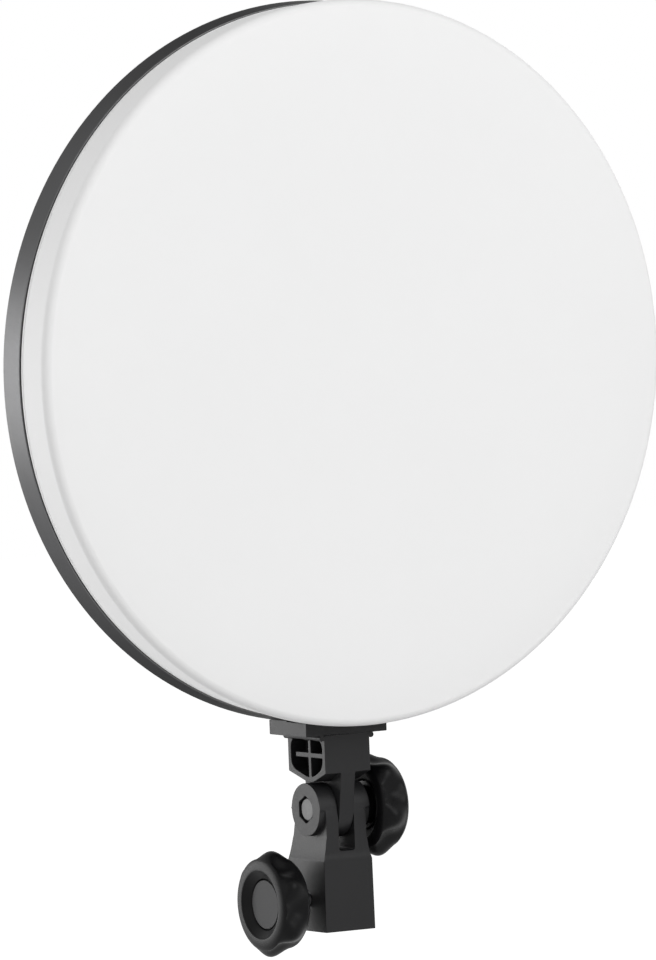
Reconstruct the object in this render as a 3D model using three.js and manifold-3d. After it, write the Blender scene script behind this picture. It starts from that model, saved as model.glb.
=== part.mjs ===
// Round LED panel light on a tilting stand head.
// Millimetres, +Z up, the light shines towards -Y. The origin is the centre of the socket's mouth,
// where the light sits on a stand's spigot.
// The panel's own frame has its origin at the centre of the rim's back face. A place there is given
// as x, z and t, the distance forward of that face.

import * as THREE from 'three';
import { mergeVertices } from 'three/addons/utils/BufferGeometryUtils.js';
import Module from 'manifold-3d';

const wasm = await Module();
wasm.setup();

// Clearances
const seatGap = 0.3;
const boreGap = 0.3;
const overrun = 2;

// How finely round forms are cut into flats
const discSides = 48;
const knobSides = 36;
const shaftSides = 20;
const screwSides = 8;
const arcSteps = 4;
const innerArcSteps = 2;
const domeSteps = 3;

// Panel rim: a metal band with a flange turned in at the back
const panelRadius = 156;
const rimDepth = 12.4;
const rimWall = 2.2;
const rimTaper = 0.6;
const rimEdge = 0.7;
const flangeThick = 3;
const flangeWidth = 21;

// Opal cover: its wall leans outwards a little towards the front
const coverWall = 2;
const coverInset = 0.6;
const coverFlare = 1.2;
const coverDepth = 36.3;
const coverRound = 2.5;
const coverCrown = 3;

// LED board and the white ring round it
const boardMargin = 4.8;
const boardThick = 1.6;
const ledSize = 3.4;
const ledHeight = 0.9;
const ledMargin = 7;
const ledRings = 4;
const ledsPerRing = 6;
const reflectorThick = 0.8;
const reflectorFoot = 2.2;
const reflectorInset = 4.2;
const reflectorRise = 8;

// Rear cover: a dished pan with a flange that screws to the rim
const rearInset = 12.5;
const rearFlangeThick = 2.5;
const rearFlangeWidth = 7.5;
const rearLean = 14;
const rearDepth = 20;
const rearWall = 2.5;
const rearRound = 6;
const rearScrewInset = 3.3;
const boardScrewInset = 3.4;
const screwsRound = 6;
const boardScrewTurn = THREE.MathUtils.degToRad(6);

// Small screws: shank radius, head radius and head height
const coverScrew = { shank: 1.4, head: 2.6, rise: 1.6 };
const bracketScrew = { shank: 1.9, head: 3.6, rise: 2.4 };
const screwCrownShare = 0.7;

// Vents in the rear cover
const ventLength = 34;
const ventWidth = 2.6;
const ventPitch = 9.5;
const ventRows = 5;
const ventInset = 44;
const ventLowest = 8;

// Dials and display on the back
const controlsZ = -40;
const dialX = 47;
const dialRadius = 10.5;
const dialHeight = 11;
const dialRibs = 16;
const dialRibDepth = 0.7;
const dialEdge = 1;
const dialStemRadius = 3;
const encoderWidth = 13;
const encoderThick = 6.5;
const encoderBushRadius = 4.4;
const windowWidth = 46;
const windowHeight = 22;
const windowThick = 1.4;
const windowCorner = 2.5;
const windowLedge = 2;
const displayThick = 4;

// Rocker switch
const switchX = -24;
const switchZ = -80;
const switchWidth = 15;
const switchHeight = 21;
const switchBezel = 1.8;
const switchBezelThick = 1.6;
const switchWall = 1.5;
const switchDepth = 12;
const rockerLength = 15.6;
const rockerFoot = 8;
const rockerAbove = 5.5;
const rockerBelow = 3;
const rockerProud = 1.1;
const rockerDip = 0.8;
const rockerThrow = 8;
const rockerPinRadius = 1.2;
const rockerPinLength = 1.1;

// Power inlet
const inletX = 24;
const inletBarrel = 5.2;
const inletFlangeRadius = 7;
const inletFlange = 1.4;
const inletBore = 2.9;
const inletPin = 1;
const inletDepth = 10;
const inletEnd = 3;

// Battery plate on the back, with rails that a slide-on battery hooks under
const batteryZ = 36;
const batteryWidth = 46;
const batteryHeight = 70;
const batteryCorner = 3;
const batteryBase = 3;
const railWidth = 3.2;
const railHeight = 7;
const railLip = 1.6;
const railLipReach = 1.8;
const railLength = 50;
const contactWidth = 22;
const contactHeight = 6;
const contactRise = 5.4;
const contactMargin = 3;
const bladeWidth = 1.2;
const bladeLength = 4.6;
const bladeCount = 3;
const bladePitch = 6;
const releaseWidth = 14;
const releaseHeight = 7;
const releaseRise = 4;
const releaseTravel = 2.5;
const releaseMargin = 5;
const releaseCollar = 1.5;

// Driver board, on posts of the rear cover
const driverWidth = 84;
const driverHeight = 34;
const driverInset = 34;
const driverThick = 1.6;
const driverStand = 4;
const postRadius = 3;
const transformer = { width: 24, height: 20, rise: 9, x: -22 };
const capacitor = { radius: 4, rise: 9, pitch: 11, x: 6, count: 3 };

// Bracket: plate under the rim, riser behind it, neck, and tongue between the ears
const bracketFront = 15.6;
const bracketBack = 14.5;
const plateWidth = 41.3;
const plateBelow = 5.1;
const plateThick = 6.4;
const riserThick = 4;
const riserRise = 11;
const riserCorner = 3.5;
const riserHoleRise = 5.5;
const riserHoleX = 12.5;
const neckWidth = 23.1;
const neckDrop = 16.5;
const neckFall = 5;
const neckRound = 4;
const vertexForward = 3;
const pocketWall = 2.4;
const pocketDrop = 2;
const pocketCorner = 4.5;
const ribThick = 2.1;
const crossRibFall = 8.9;
const crossRibShort = 4;
const tongueWidth = 7.3;
const tongueRadius = 13;
const beadRadius = 1.25;
const beadSunk = 0.2;

// Stand head: a block with the spigot socket, and two ears that carry the tilt bolt
const pivotFall = 11.2;
const pivotHeight = 52.9;
const pivotForward = 1.9;
const blockWidth = 25.3;
const blockTopWidth = 24.8;
const blockDepth = 29.7;
const blockHeight = 31.7;
const socketRadius = 8.1;
const socketDepth = 28;
const socketChamfer = 1;
const slotGap = 0.3;
const slotFloor = 34.8;
const slotCorner = 1.2;
const earTop = 11.5;
const earFront = 11.8;
const earBack = 11.5;
const earLeave = 2;
const earSetBack = 0.5;
const earShoulder = 12.45;
const earShoulderDrop = 3.5;
const flankReach = 15.4;
const flankDrop = 12;
const flankFoot = 16.4;
const earWaist = 9.95;
const earRoot = 10.8;
const earRootHeight = 37.3;
const bossFace = 12.75;
const bossRadius = 11.5;

// Tilt bolt and its spacer
const boltRadius = 2.9;
const boltFlats = 10;
const boltHead = 3.6;
const boltCrown = 1;
const boltSunk = 0.55;
const boltEnd = 25;
const spacerRadius = 8.5;

// Six-lobed knobs, the same moulding for both
const knobThick = 14;
const knobLip = 17.4;
const knobRing = 20;
const knobRingAt = 1.2;
const knobLobe = 3.3;
const knobScallop = 1.7;
const knobFlange = 19.8;
const knobFlangeAt = 12.4;
const knobFoot = 18.6;
const knobRecess = 15.6;
const knobRecessDepth = 5.4;
const knobBoss = 10.7;
const knobBossDrop = 2.8;
const knobLobes = 6;
const knobRings = 5;
const widestShare = 0.8;
const hubRadius = 8.5;
const hubLength = 4;
const insertRadius = 4.2;

// Clamp screw on the block's left side, and how the two knobs are turned at rest
const clampHeight = 13.3;
const clampFace = 36.8;
const clampTurned = -5;
const clampEnd = 9.9;
const clampHead = 3.7;
const clampInsertInset = 0.25;
const capThick = 1.2;
const capSpigot = 1.2;
const padThick = 1.5;
const tiltFace = 14.4;
const tiltTurned = 16.5;
const tiltInsertLength = 9;

// Finishes: colour, roughness and metalness
const finishes = {
  opal: [0xf1f1ef, 0.42, 0],
  rimMetal: [0x4b4b4d, 0.38, 0.8],
  darkPlastic: [0x343435, 0.55, 0],
  blackPlastic: [0x1d1d1e, 0.5, 0],
  greyPlastic: [0x4c4c4d, 0.5, 0],
  boardWhite: [0xe9ebe8, 0.5, 0.1],
  boardGreen: [0x1f4a33, 0.5, 0],
  white: [0xf4f4f2, 0.5, 0],
  steel: [0x9a9a9c, 0.35, 0.9],
  blackSteel: [0x2a2a2c, 0.4, 0.8],
  brass: [0xb39352, 0.35, 0.9],
  smokedClear: [0x101214, 0.12, 0],
  nylon: [0xd8d6cf, 0.5, 0],
};

// Solids

// A closed geometry becomes a solid: shared points are merged, collapsed triangles at the poles
// of a revolve are dropped, and a shape that came out inside out is turned.
function solidOf(geometry) {
  const bare = geometry.clone();
  bare.deleteAttribute('normal');
  bare.deleteAttribute('uv');
  const merged = mergeVertices(bare);
  const points = merged.attributes.position.array;
  const at = (i) => new THREE.Vector3().fromArray(points, i * 3);
  const kept = [];
  let volume = 0;
  for (let i = 0; i < merged.index.count; i += 3) {
    const [a, b, c] = merged.index.array.slice(i, i + 3);
    if (a === b || b === c || c === a) continue;
    kept.push([a, b, c]);
    volume += at(a).dot(at(b).cross(at(c)));
  }
  const outward = volume < 0 ? kept.map(([a, b, c]) => [a, c, b]) : kept;
  return new wasm.Manifold(new wasm.Mesh({
    numProp: 3,
    vertProperties: new Float32Array(points),
    triVerts: new Uint32Array(outward.flat()),
  }));
}

function geometryOf(solid) {
  const mesh = solid.getMesh();
  const geometry = new THREE.BufferGeometry();
  geometry.setAttribute('position', new THREE.BufferAttribute(mesh.vertProperties, mesh.numProp));
  geometry.setIndex(new THREE.BufferAttribute(mesh.triVerts, 1));
  geometry.computeVertexNormals();
  return geometry;
}

const join = (first, ...rest) => rest.reduce((sum, next) => sum.add(next), first);
const cut = (first, ...tools) => tools.reduce((left, tool) => left.subtract(tool), first);

// Axes that a profile's x, y and depth are laid along
const layAlongX = new THREE.Matrix4().makeBasis(
  new THREE.Vector3(0, 1, 0), new THREE.Vector3(0, 0, 1), new THREE.Vector3(1, 0, 0));
const layAlongY = new THREE.Matrix4().makeBasis(
  new THREE.Vector3(1, 0, 0), new THREE.Vector3(0, 0, 1), new THREE.Vector3(0, -1, 0));

function extrude(shape, depth) {
  return new THREE.ExtrudeGeometry(shape, { depth, bevelEnabled: false, curveSegments: arcSteps });
}

// A profile drawn in y and z, from x = low to x = high
function alongX(shape, low, high) {
  return solidOf(extrude(shape, high - low).applyMatrix4(layAlongX).translate(low, 0, 0));
}

// A profile drawn in x and z, between two depths t in front of the panel's back face
function alongFront(shape, low, high) {
  return solidOf(extrude(shape, high - low).applyMatrix4(layAlongY).translate(0, -low, 0));
}

// Round bars along X, and along the front axis
function barX(radius, low, high, y, z, sides = shaftSides) {
  const bar = new THREE.CylinderGeometry(radius, radius, high - low, sides);
  return solidOf(bar.rotateZ(Math.PI / 2).translate((low + high) / 2, y, z));
}

function barFront(radius, low, high, x, z, sides = shaftSides) {
  const bar = new THREE.CylinderGeometry(radius, radius, high - low, sides);
  return solidOf(bar.translate(x, -(low + high) / 2, z));
}

// A profile of [radius, height] turned round the front axis, round X, or round Z
const lathe = (profile, sides) =>
  new THREE.LatheGeometry(profile.map(([r, h]) => new THREE.Vector2(r, h)), sides);

const turnedFront = (profile, sides, x = 0, z = 0) =>
  solidOf(lathe(profile, sides).rotateX(Math.PI).translate(x, 0, z));

const turnedX = (profile, sides, y, z) =>
  solidOf(lathe(profile, sides).rotateZ(-Math.PI / 2).translate(0, y, z));

const turnedZ = (profile, sides) => solidOf(lathe(profile, sides).rotateX(Math.PI / 2));

// Outlines

function polygon(points) {
  return new THREE.Shape(points.map(([x, y]) => new THREE.Vector2(x, y)));
}

function rectangle(width, height, x = 0, y = 0) {
  const [w, h] = [width / 2, height / 2];
  return polygon([[x - w, y - h], [x + w, y - h], [x + w, y + h], [x - w, y + h]]);
}

function roundedRectangle(width, height, corner, x = 0, y = 0) {
  const [w, h] = [width / 2, height / 2];
  const shape = new THREE.Shape();
  shape.moveTo(x - w + corner, y - h);
  shape.lineTo(x + w - corner, y - h);
  shape.absarc(x + w - corner, y - h + corner, corner, -Math.PI / 2, 0);
  shape.absarc(x + w - corner, y + h - corner, corner, 0, Math.PI / 2);
  shape.absarc(x - w + corner, y + h - corner, corner, Math.PI / 2, Math.PI);
  shape.absarc(x - w + corner, y - h + corner, corner, Math.PI, 3 * Math.PI / 2);
  return shape;
}

// A slot with pointed ends, as a vent has
function slot(width, height, x, y) {
  const [w, h] = [width / 2, height / 2];
  return polygon([[x - w, y], [x - w + h, y - h], [x + w - h, y - h],
    [x + w, y], [x + w - h, y + h], [x - w + h, y + h]]);
}

// Points of a rounded corner: it leaves one side at start, and joins the next one at end
function roundedCorner(start, corner, end) {
  const [from, by, to] = [start, corner, end].map(([x, y]) => new THREE.Vector2(x, y));
  if (from.equals(by)) return [corner];
  const points = new THREE.QuadraticBezierCurve(from, by, to).getPoints(arcSteps);
  return points.map((point) => point.toArray());
}

// Points of an arc in a revolve's profile
function arc(r, h, radiusR, radiusH, from, to, steps = arcSteps) {
  return Array.from({ length: steps + 1 }, (_, i) => {
    const angle = from + (to - from) * i / steps;
    return [r + radiusR * Math.cos(angle), h + radiusH * Math.sin(angle)];
  });
}

// Places evenly round the front axis, the first at an angle from +X
function roundPlaces(count, radius, first) {
  return Array.from({ length: count }, (_, i) => {
    const angle = first + 2 * Math.PI * i / count;
    return [radius * Math.cos(angle), radius * Math.sin(angle)];
  });
}

const closedRing = (profile) => [...profile, profile[0]];

// A screw along the front axis: the head's underside is at t = seat and the shank runs to t = tip
function frontScrew(size, seat, tip, x, z) {
  const towards = Math.sign(tip - seat);
  const top = seat - towards * size.rise;
  return turnedFront([
    [0, top], [size.head * screwCrownShare, top], [size.head, seat], [size.shank, seat],
    [size.shank, tip], [0, tip],
  ], screwSides, x, z);
}

const panelParts = [];
const standParts = [];

function addPart(list, name, solid, finish) {
  const [color, roughness, metalness] = finishes[finish];
  const material = new THREE.MeshStandardMaterial({ color, roughness, metalness });
  const mesh = new THREE.Mesh(geometryOf(solid), material);
  mesh.name = name;
  list.push(mesh);
}

// Radii of the rim, and of what lies inside it and behind it, with the places that follow them
const rimFrontRadius = panelRadius - rimTaper;
const rimInnerRadius = rimFrontRadius - rimWall;
const flangeRadius = panelRadius - flangeWidth;
const spigotOuter = rimInnerRadius - seatGap;
const spigotInner = spigotOuter - coverWall + seatGap;
const coverRoot = rimFrontRadius - coverInset;
const boardRadius = spigotInner - boardMargin;
const reflectorRadius = boardRadius - reflectorInset;
const rearRadius = panelRadius - rearInset;
const rearRootRadius = rearRadius - rearFlangeWidth;
const rearBackRadius = rearRootRadius - rearLean;
const ventX = rearBackRadius - ventInset;
const driverZ = rearBackRadius - driverInset;

// Screw places round the rim's flange
const coverScrewPlaces = roundPlaces(screwsRound, rearRadius - rearScrewInset, Math.PI / 2);
const boardScrewPlaces = roundPlaces(screwsRound, flangeRadius + boardScrewInset, boardScrewTurn);
const riserScrewPlaces = [-riserHoleX, riserHoleX].map((x) => [x, riserHoleRise - panelRadius]);

const holes = (places, radius, low, high) =>
  places.map(([x, z]) => barFront(radius, low, high, x, z, screwSides));

// Rim

function housingRim() {
  const band = turnedFront(closedRing([
    [flangeRadius, 0], [panelRadius - rimEdge, 0], [panelRadius, rimEdge],
    [rimFrontRadius, rimDepth - rimEdge], [rimFrontRadius - rimEdge, rimDepth],
    [rimInnerRadius, rimDepth], [rimInnerRadius, flangeThick], [flangeRadius, flangeThick],
  ]), discSides);
  const drill = (places, size) =>
    holes(places, size.shank + boreGap, -overrun, flangeThick + overrun);
  return cut(band, ...drill([...coverScrewPlaces, ...boardScrewPlaces], coverScrew),
    ...drill(riserScrewPlaces, bracketScrew));
}

// Opal cover: a spigot inside the rim, the side wall, a rounded edge and a domed front
const coverSeat = rimDepth + seatGap;

function domedFront(edgeRadius, edgeDepth, round, crown, steps) {
  const rimOfDome = edgeRadius - round;
  const sphere = (rimOfDome ** 2 + crown ** 2) / (2 * crown);
  const lean = Math.asin(rimOfDome / sphere);
  const dome = arc(0, edgeDepth + crown - sphere, sphere, sphere,
    Math.PI / 2, Math.PI / 2 - lean, domeSteps);
  const edge = arc(rimOfDome, edgeDepth - round, round, round, Math.PI / 2 - lean, 0,
    steps);
  return [...dome, ...edge.slice(1)];
}

function frontDiffuser() {
  const frontRadius = coverRoot + coverFlare;
  const outer = domedFront(frontRadius, coverDepth, coverRound, coverCrown, arcSteps);
  const inner = domedFront(frontRadius - coverWall, coverDepth - coverWall,
    coverRound - coverWall, coverCrown, innerArcSteps);
  const spigotFoot = flangeThick + seatGap;
  return turnedFront([
    ...outer, [coverRoot, coverSeat], [spigotOuter, coverSeat], [spigotOuter, spigotFoot],
    [spigotInner, spigotFoot], [spigotInner, coverSeat + coverWall], ...inner.reverse(),
  ], discSides);
}

// LED board: chips in rings on a round metal board
const boardBack = flangeThick + seatGap;
const boardFront = boardBack + boardThick;
const ledPitch = (flangeRadius - ledMargin) / ledRings;

function ledBoard() {
  const plate = turnedFront([
    [0, boardBack], [boardRadius, boardBack], [boardRadius, boardFront], [0, boardFront],
  ], discSides);
  const chips = [];
  for (let ring = 1; ring <= ledRings; ring += 1) {
    for (const [x, z] of roundPlaces(ring * ledsPerRing, ring * ledPitch, 0)) {
      chips.push(alongFront(rectangle(ledSize, ledSize, x, z),
        boardFront - boardThick / 2, boardFront + ledHeight));
    }
  }
  const bores = holes(boardScrewPlaces, coverScrew.shank + boreGap,
    boardBack - overrun, boardFront + overrun);
  return cut(join(plate, ...chips), ...bores);
}

function reflectorRing() {
  const foot = boardFront + seatGap;
  const brim = spigotInner - seatGap;
  const rise = foot + reflectorRise;
  return turnedFront(closedRing([
    [reflectorRadius, foot], [reflectorRadius + reflectorFoot, foot],
    [brim, rise], [brim, rise + reflectorThick],
    [reflectorRadius + reflectorFoot, foot + reflectorThick],
    [reflectorRadius, foot + reflectorThick],
  ]), discSides);
}

// Rear cover. Depths on the back are negative t.
const rearSeat = -seatGap;
const rearFlangeBack = rearSeat - rearFlangeThick;
const backFace = -rearDepth;
const backInside = backFace + rearWall;

// Places on the back that its openings share with the pieces in them
const plateSeat = backFace - seatGap;
const plateFace = plateSeat - batteryBase;
const contactZ = batteryZ - batteryHeight / 2 + contactMargin + contactHeight / 2;
const releaseZ = batteryZ + batteryHeight / 2 - releaseMargin - releaseHeight / 2;
const screenWidth = windowWidth - 2 * windowLedge;
const screenHeight = windowHeight - 2 * windowLedge;
const driverPosts = [-1, 1].flatMap((x) => [-1, 1].map((z) =>
  [x * (driverWidth / 2 - 2 * postRadius), driverZ + z * (driverHeight / 2 - 2 * postRadius)]));

function rearOpenings() {
  const through = [backFace - overrun, backInside + overrun];
  const opening = (width, height, x, z) =>
    alongFront(rectangle(width + 2 * seatGap, height + 2 * seatGap, x, z), ...through);
  const vents = [-1, 1].flatMap((side) => Array.from({ length: ventRows }, (_, row) =>
    alongFront(slot(ventLength, ventWidth, side * ventX, ventLowest + row * ventPitch),
      ...through)));
  return [
    ...vents,
    barFront(encoderBushRadius + boreGap, ...through, -dialX, controlsZ),
    barFront(encoderBushRadius + boreGap, ...through, dialX, controlsZ),
    alongFront(roundedRectangle(windowWidth + 2 * seatGap, windowHeight + 2 * seatGap,
      windowCorner + seatGap, 0, controlsZ), backFace - overrun, backFace + windowThick),
    opening(screenWidth - 2 * seatGap, screenHeight - 2 * seatGap, 0, controlsZ),
    opening(switchWidth, switchHeight, switchX, switchZ),
    barFront(inletBarrel + boreGap, ...through, inletX, switchZ),
    opening(contactWidth, contactHeight, 0, contactZ),
    opening(releaseWidth, releaseHeight, 0, releaseZ),
  ];
}

function rearCover() {
  const innerRound = rearRound - rearWall;
  const outerCorner = arc(rearBackRadius - rearRound, backFace + rearRound, rearRound, rearRound,
    -Math.PI / 2, 0, innerArcSteps);
  const innerCorner = arc(rearBackRadius - rearWall - innerRound, backInside + innerRound,
    innerRound, innerRound, 0, -Math.PI / 2, innerArcSteps);
  const pan = turnedFront([
    [0, backFace], ...outerCorner, [rearRootRadius, rearFlangeBack], [rearRadius, rearFlangeBack],
    [rearRadius, rearSeat], [rearRootRadius - rearWall, rearSeat], ...innerCorner,
    [0, backInside],
  ], discSides);
  const posts = driverPosts.map(([x, z]) =>
    barFront(postRadius, backInside - rearWall / 2, backInside + driverStand, x, z, screwSides));
  const bores = holes(coverScrewPlaces, coverScrew.shank + boreGap,
    rearFlangeBack - overrun, rearSeat + overrun);
  return cut(join(pan, ...posts), ...rearOpenings(), ...bores);
}

// Dials: ribbed round the side, chamfered at the outer edge, each on the stem of its encoder
function controlDial(x) {
  const foot = plateSeat;
  const top = foot - dialHeight;
  const steps = dialRibs * 2;
  const ribs = polygon(Array.from({ length: steps }, (_, i) => {
    const radius = dialRadius - (i % 2) * dialRibDepth;
    const angle = 2 * Math.PI * i / steps;
    return [x + radius * Math.cos(angle), controlsZ + radius * Math.sin(angle)];
  }));
  const chamfer = turnedFront([
    [0, top - overrun], [dialRadius - dialEdge - overrun, top - overrun],
    [dialRadius + overrun, top + dialEdge + overrun], [dialRadius + overrun, foot + overrun],
    [0, foot + overrun],
  ], steps, x, controlsZ);
  const stem = barFront(dialStemRadius, top + dialHeight / 2, backInside + encoderThick / 2,
    x, controlsZ);
  return join(alongFront(ribs, top, foot).intersect(chamfer), stem);
}

function encoder(x) {
  const face = backInside + seatGap;
  const box = alongFront(rectangle(encoderWidth, encoderWidth, x, controlsZ),
    face, face + encoderThick);
  const bush = barFront(encoderBushRadius, backFace + seatGap, face + encoderThick / 2,
    x, controlsZ);
  const bore = barFront(dialStemRadius + boreGap, backFace - overrun,
    backInside + encoderThick / 2 + seatGap, x, controlsZ);
  return cut(join(box, bush), bore);
}

function displayWindow() {
  return alongFront(roundedRectangle(windowWidth, windowHeight, windowCorner, 0, controlsZ),
    backFace, backFace + windowThick - seatGap);
}

function displayModule() {
  const face = backInside + seatGap;
  const frame = alongFront(rectangle(windowWidth, windowHeight, 0, controlsZ),
    face, face + displayThick);
  const screen = alongFront(rectangle(screenWidth - 2 * seatGap, screenHeight - 2 * seatGap,
    0, controlsZ), backFace + windowThick, face + displayThick / 2);
  return join(frame, screen);
}

// Rocker switch: a frame that clips in, and a rocker on two pins that lies over to one side
const rockerWidth = switchWidth - 2 * switchWall - 2 * boreGap;
const rockerAxis = plateSeat - switchBezelThick - rockerProud + rockerAbove;

function powerSwitch() {
  const face = plateSeat - switchBezelThick;
  const bezel = alongFront(roundedRectangle(switchWidth + 2 * switchBezel,
    switchHeight + 2 * switchBezel, switchBezel, switchX, switchZ), face, plateSeat);
  const body = alongFront(rectangle(switchWidth, switchHeight, switchX, switchZ),
    face, backFace + switchDepth);
  const well = alongFront(rectangle(switchWidth - 2 * switchWall, switchHeight - 2 * switchWall,
    switchX, switchZ), face - overrun, rockerAxis + rockerBelow + 2 * switchWall);
  const half = switchWidth / 2 + overrun;
  const pinBore = barX(rockerPinRadius + boreGap, switchX - half, switchX + half,
    -rockerAxis, switchZ, screwSides);
  return cut(join(bezel, body), well, pinBore);
}

function powerRocker() {
  const half = rockerLength / 2;
  const profile = polygon([
    [rockerAbove, -half], [rockerAbove - rockerDip, 0], [rockerAbove, half],
    [0, half], [-rockerBelow, rockerFoot / 2], [-rockerBelow, -rockerFoot / 2], [0, -half],
  ]);
  const [low, high] = [-rockerWidth / 2, rockerWidth / 2];
  const body = alongX(profile, low, high);
  const pins = barX(rockerPinRadius, low - rockerPinLength, high + rockerPinLength, 0, 0,
    screwSides);
  return join(body, pins).rotate([rockerThrow, 0, 0]).translate([switchX, -rockerAxis, switchZ]);
}

function dcInlet() {
  const face = plateSeat - inletFlange;
  const end = backFace + inletDepth + inletEnd;
  const body = turnedFront([
    [0, face], [inletFlangeRadius, face], [inletFlangeRadius, plateSeat],
    [inletBarrel, plateSeat], [inletBarrel, end], [0, end],
  ], shaftSides, inletX, switchZ);
  const bore = barFront(inletBore, face - overrun, face + inletDepth, inletX, switchZ);
  const pin = barFront(inletPin, face + inletFlange, end - inletEnd / 2, inletX, switchZ,
    screwSides);
  return join(cut(body, bore), pin);
}

// Battery plate: rails with lips turned inwards, contact block and release button
function batteryPlate() {
  const base = alongFront(roundedRectangle(batteryWidth, batteryHeight, batteryCorner,
    0, batteryZ), plateFace, plateSeat);
  const lipWidth = railWidth + railLipReach;
  const lipBack = plateFace - railHeight;
  const rails = [-1, 1].flatMap((side) => [
    alongFront(rectangle(railWidth, railLength, side * (batteryWidth - railWidth) / 2, batteryZ),
      lipBack, plateSeat),
    alongFront(rectangle(lipWidth, railLength, side * (batteryWidth - lipWidth) / 2, batteryZ),
      lipBack, lipBack + railLip),
  ]);
  const opening = (width, height, z) =>
    alongFront(rectangle(width + 2 * seatGap, height + 2 * seatGap, 0, z),
      plateFace - overrun, plateSeat + overrun);
  return cut(join(base, ...rails), opening(contactWidth, contactHeight, contactZ),
    opening(releaseWidth, releaseHeight, releaseZ));
}

function batteryContacts() {
  const block = alongFront(rectangle(contactWidth, contactHeight, 0, contactZ),
    plateFace - contactRise, backInside);
  const bladeFoot = contactZ + contactHeight / 2;
  const blades = Array.from({ length: bladeCount }, (_, i) => {
    const x = (i - (bladeCount - 1) / 2) * bladePitch;
    const length = bladeLength + contactHeight / 2;
    const z = bladeFoot + bladeLength - length / 2;
    const middle = plateFace - contactRise / 2;
    return alongFront(rectangle(bladeWidth, length, x, z),
      middle - bladeWidth, middle + bladeWidth);
  });
  return join(block, ...blades);
}

function batteryRelease() {
  const button = alongFront(roundedRectangle(releaseWidth, releaseHeight, switchBezel,
    0, releaseZ), plateFace - releaseRise, backInside + seatGap + releaseCollar / 2);
  const collar = alongFront(rectangle(releaseWidth + 2 * releaseCollar,
    releaseHeight + 2 * releaseCollar, 0, releaseZ),
  backInside + seatGap, backInside + seatGap + releaseCollar);
  return join(button, collar);
}

function driverBoard() {
  const back = backInside + driverStand + seatGap;
  const front = back + driverThick;
  const board = alongFront(rectangle(driverWidth, driverHeight, 0, driverZ), back, front);
  const coil = alongFront(rectangle(transformer.width, transformer.height, transformer.x, driverZ),
    front - driverThick / 2, front + transformer.rise);
  const cans = Array.from({ length: capacitor.count }, (_, i) =>
    barFront(capacitor.radius, front - driverThick / 2, front + capacitor.rise,
      capacitor.x + i * capacitor.pitch, driverZ, screwSides));
  return join(board, coil, ...cans);
}

// Bracket. Drops are measured from the panel's centre.
const plateBottom = panelRadius + plateBelow;
const riserTop = panelRadius - riserRise;
const neckShoulder = plateBottom + neckDrop;
const neckVertex = neckShoulder + neckFall;
const pocketTop = plateBottom + pocketDrop;
const crossRibDrop = plateBottom + crossRibFall;
const pivotDrop = neckVertex + pivotFall;

function tangentFrom([px, py], [cx, cy], radius, side) {
  const [dx, dy] = [px - cx, py - cy];
  const angle = Math.atan2(dy, dx) + side * Math.acos(radius / Math.hypot(dx, dy));
  return [cx + radius * Math.cos(angle), cy + radius * Math.sin(angle), angle];
}

// The neck seen from the side: straight edges down to the shoulders, then a blunt point.
// With an inset it is the outline of the pockets in its sides.
function neckOutline(top, inset, corner) {
  const [back, front] = [bracketBack - inset, bracketFront - inset];
  const backSlope = neckFall / (bracketBack + vertexForward);
  const frontSlope = neckFall / (bracketFront - vertexForward);
  const insetDrop = (slope) =>
    neckShoulder + inset * slope - inset / Math.cos(Math.atan(slope));
  const [backShoulder, frontShoulder] = [insetDrop(backSlope), insetDrop(frontSlope)];
  const vertex = neckVertex - inset;
  const corners = [
    [[-front, corner - top], [-front, -top], [corner - front, -top]],
    [[back - corner, -top], [back, -top], [back, corner - top]],
    [[back, corner - backShoulder], [back, -backShoulder],
      [back - corner, -backShoulder - corner * backSlope]],
    [[neckRound - vertexForward, neckRound * backSlope - vertex], [-vertexForward, -vertex],
      [-neckRound - vertexForward, neckRound * frontSlope - vertex]],
    [[corner - front, -frontShoulder - corner * frontSlope], [-front, -frontShoulder],
      [-front, corner - frontShoulder]],
  ];
  return polygon(corners.flatMap((places) => roundedCorner(...places)));
}

function tongueOutline() {
  const centre = [0, -pivotDrop];
  const rearTop = [bracketBack, -neckShoulder];
  const frontTop = [-bracketFront, -neckShoulder];
  const [rearX, rearY, rearAngle] = tangentFrom(rearTop, centre, tongueRadius, -1);
  const [frontX, frontY, frontAngle] = tangentFrom(frontTop, centre, tongueRadius, 1);
  const shape = new THREE.Shape();
  shape.moveTo(...rearTop);
  shape.lineTo(rearX, rearY);
  shape.absarc(...centre, tongueRadius, rearAngle, frontAngle - 2 * Math.PI, true);
  shape.lineTo(frontX, frontY);
  shape.lineTo(...frontTop);
  return shape;
}

// A pocket cored into one side of the neck down to the tongue's width, with its two ribs standing
function neckPocket(side) {
  const outer = side * (neckWidth / 2 + overrun);
  const inner = side * tongueWidth / 2;
  const [low, high] = [Math.min(outer, inner), Math.max(outer, inner)];
  const pocket = alongX(neckOutline(pocketTop, pocketWall, pocketCorner), low, high);
  const uprightRib = alongX(rectangle(ribThick, neckVertex, -vertexForward, -neckVertex), low, high);
  const ribBack = bracketBack - pocketWall - crossRibShort;
  const crossRib = alongX(rectangle(ribBack + bracketFront, ribThick,
    (ribBack - bracketFront) / 2, -crossRibDrop), low, high);
  return cut(pocket, uprightRib, crossRib);
}

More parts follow.
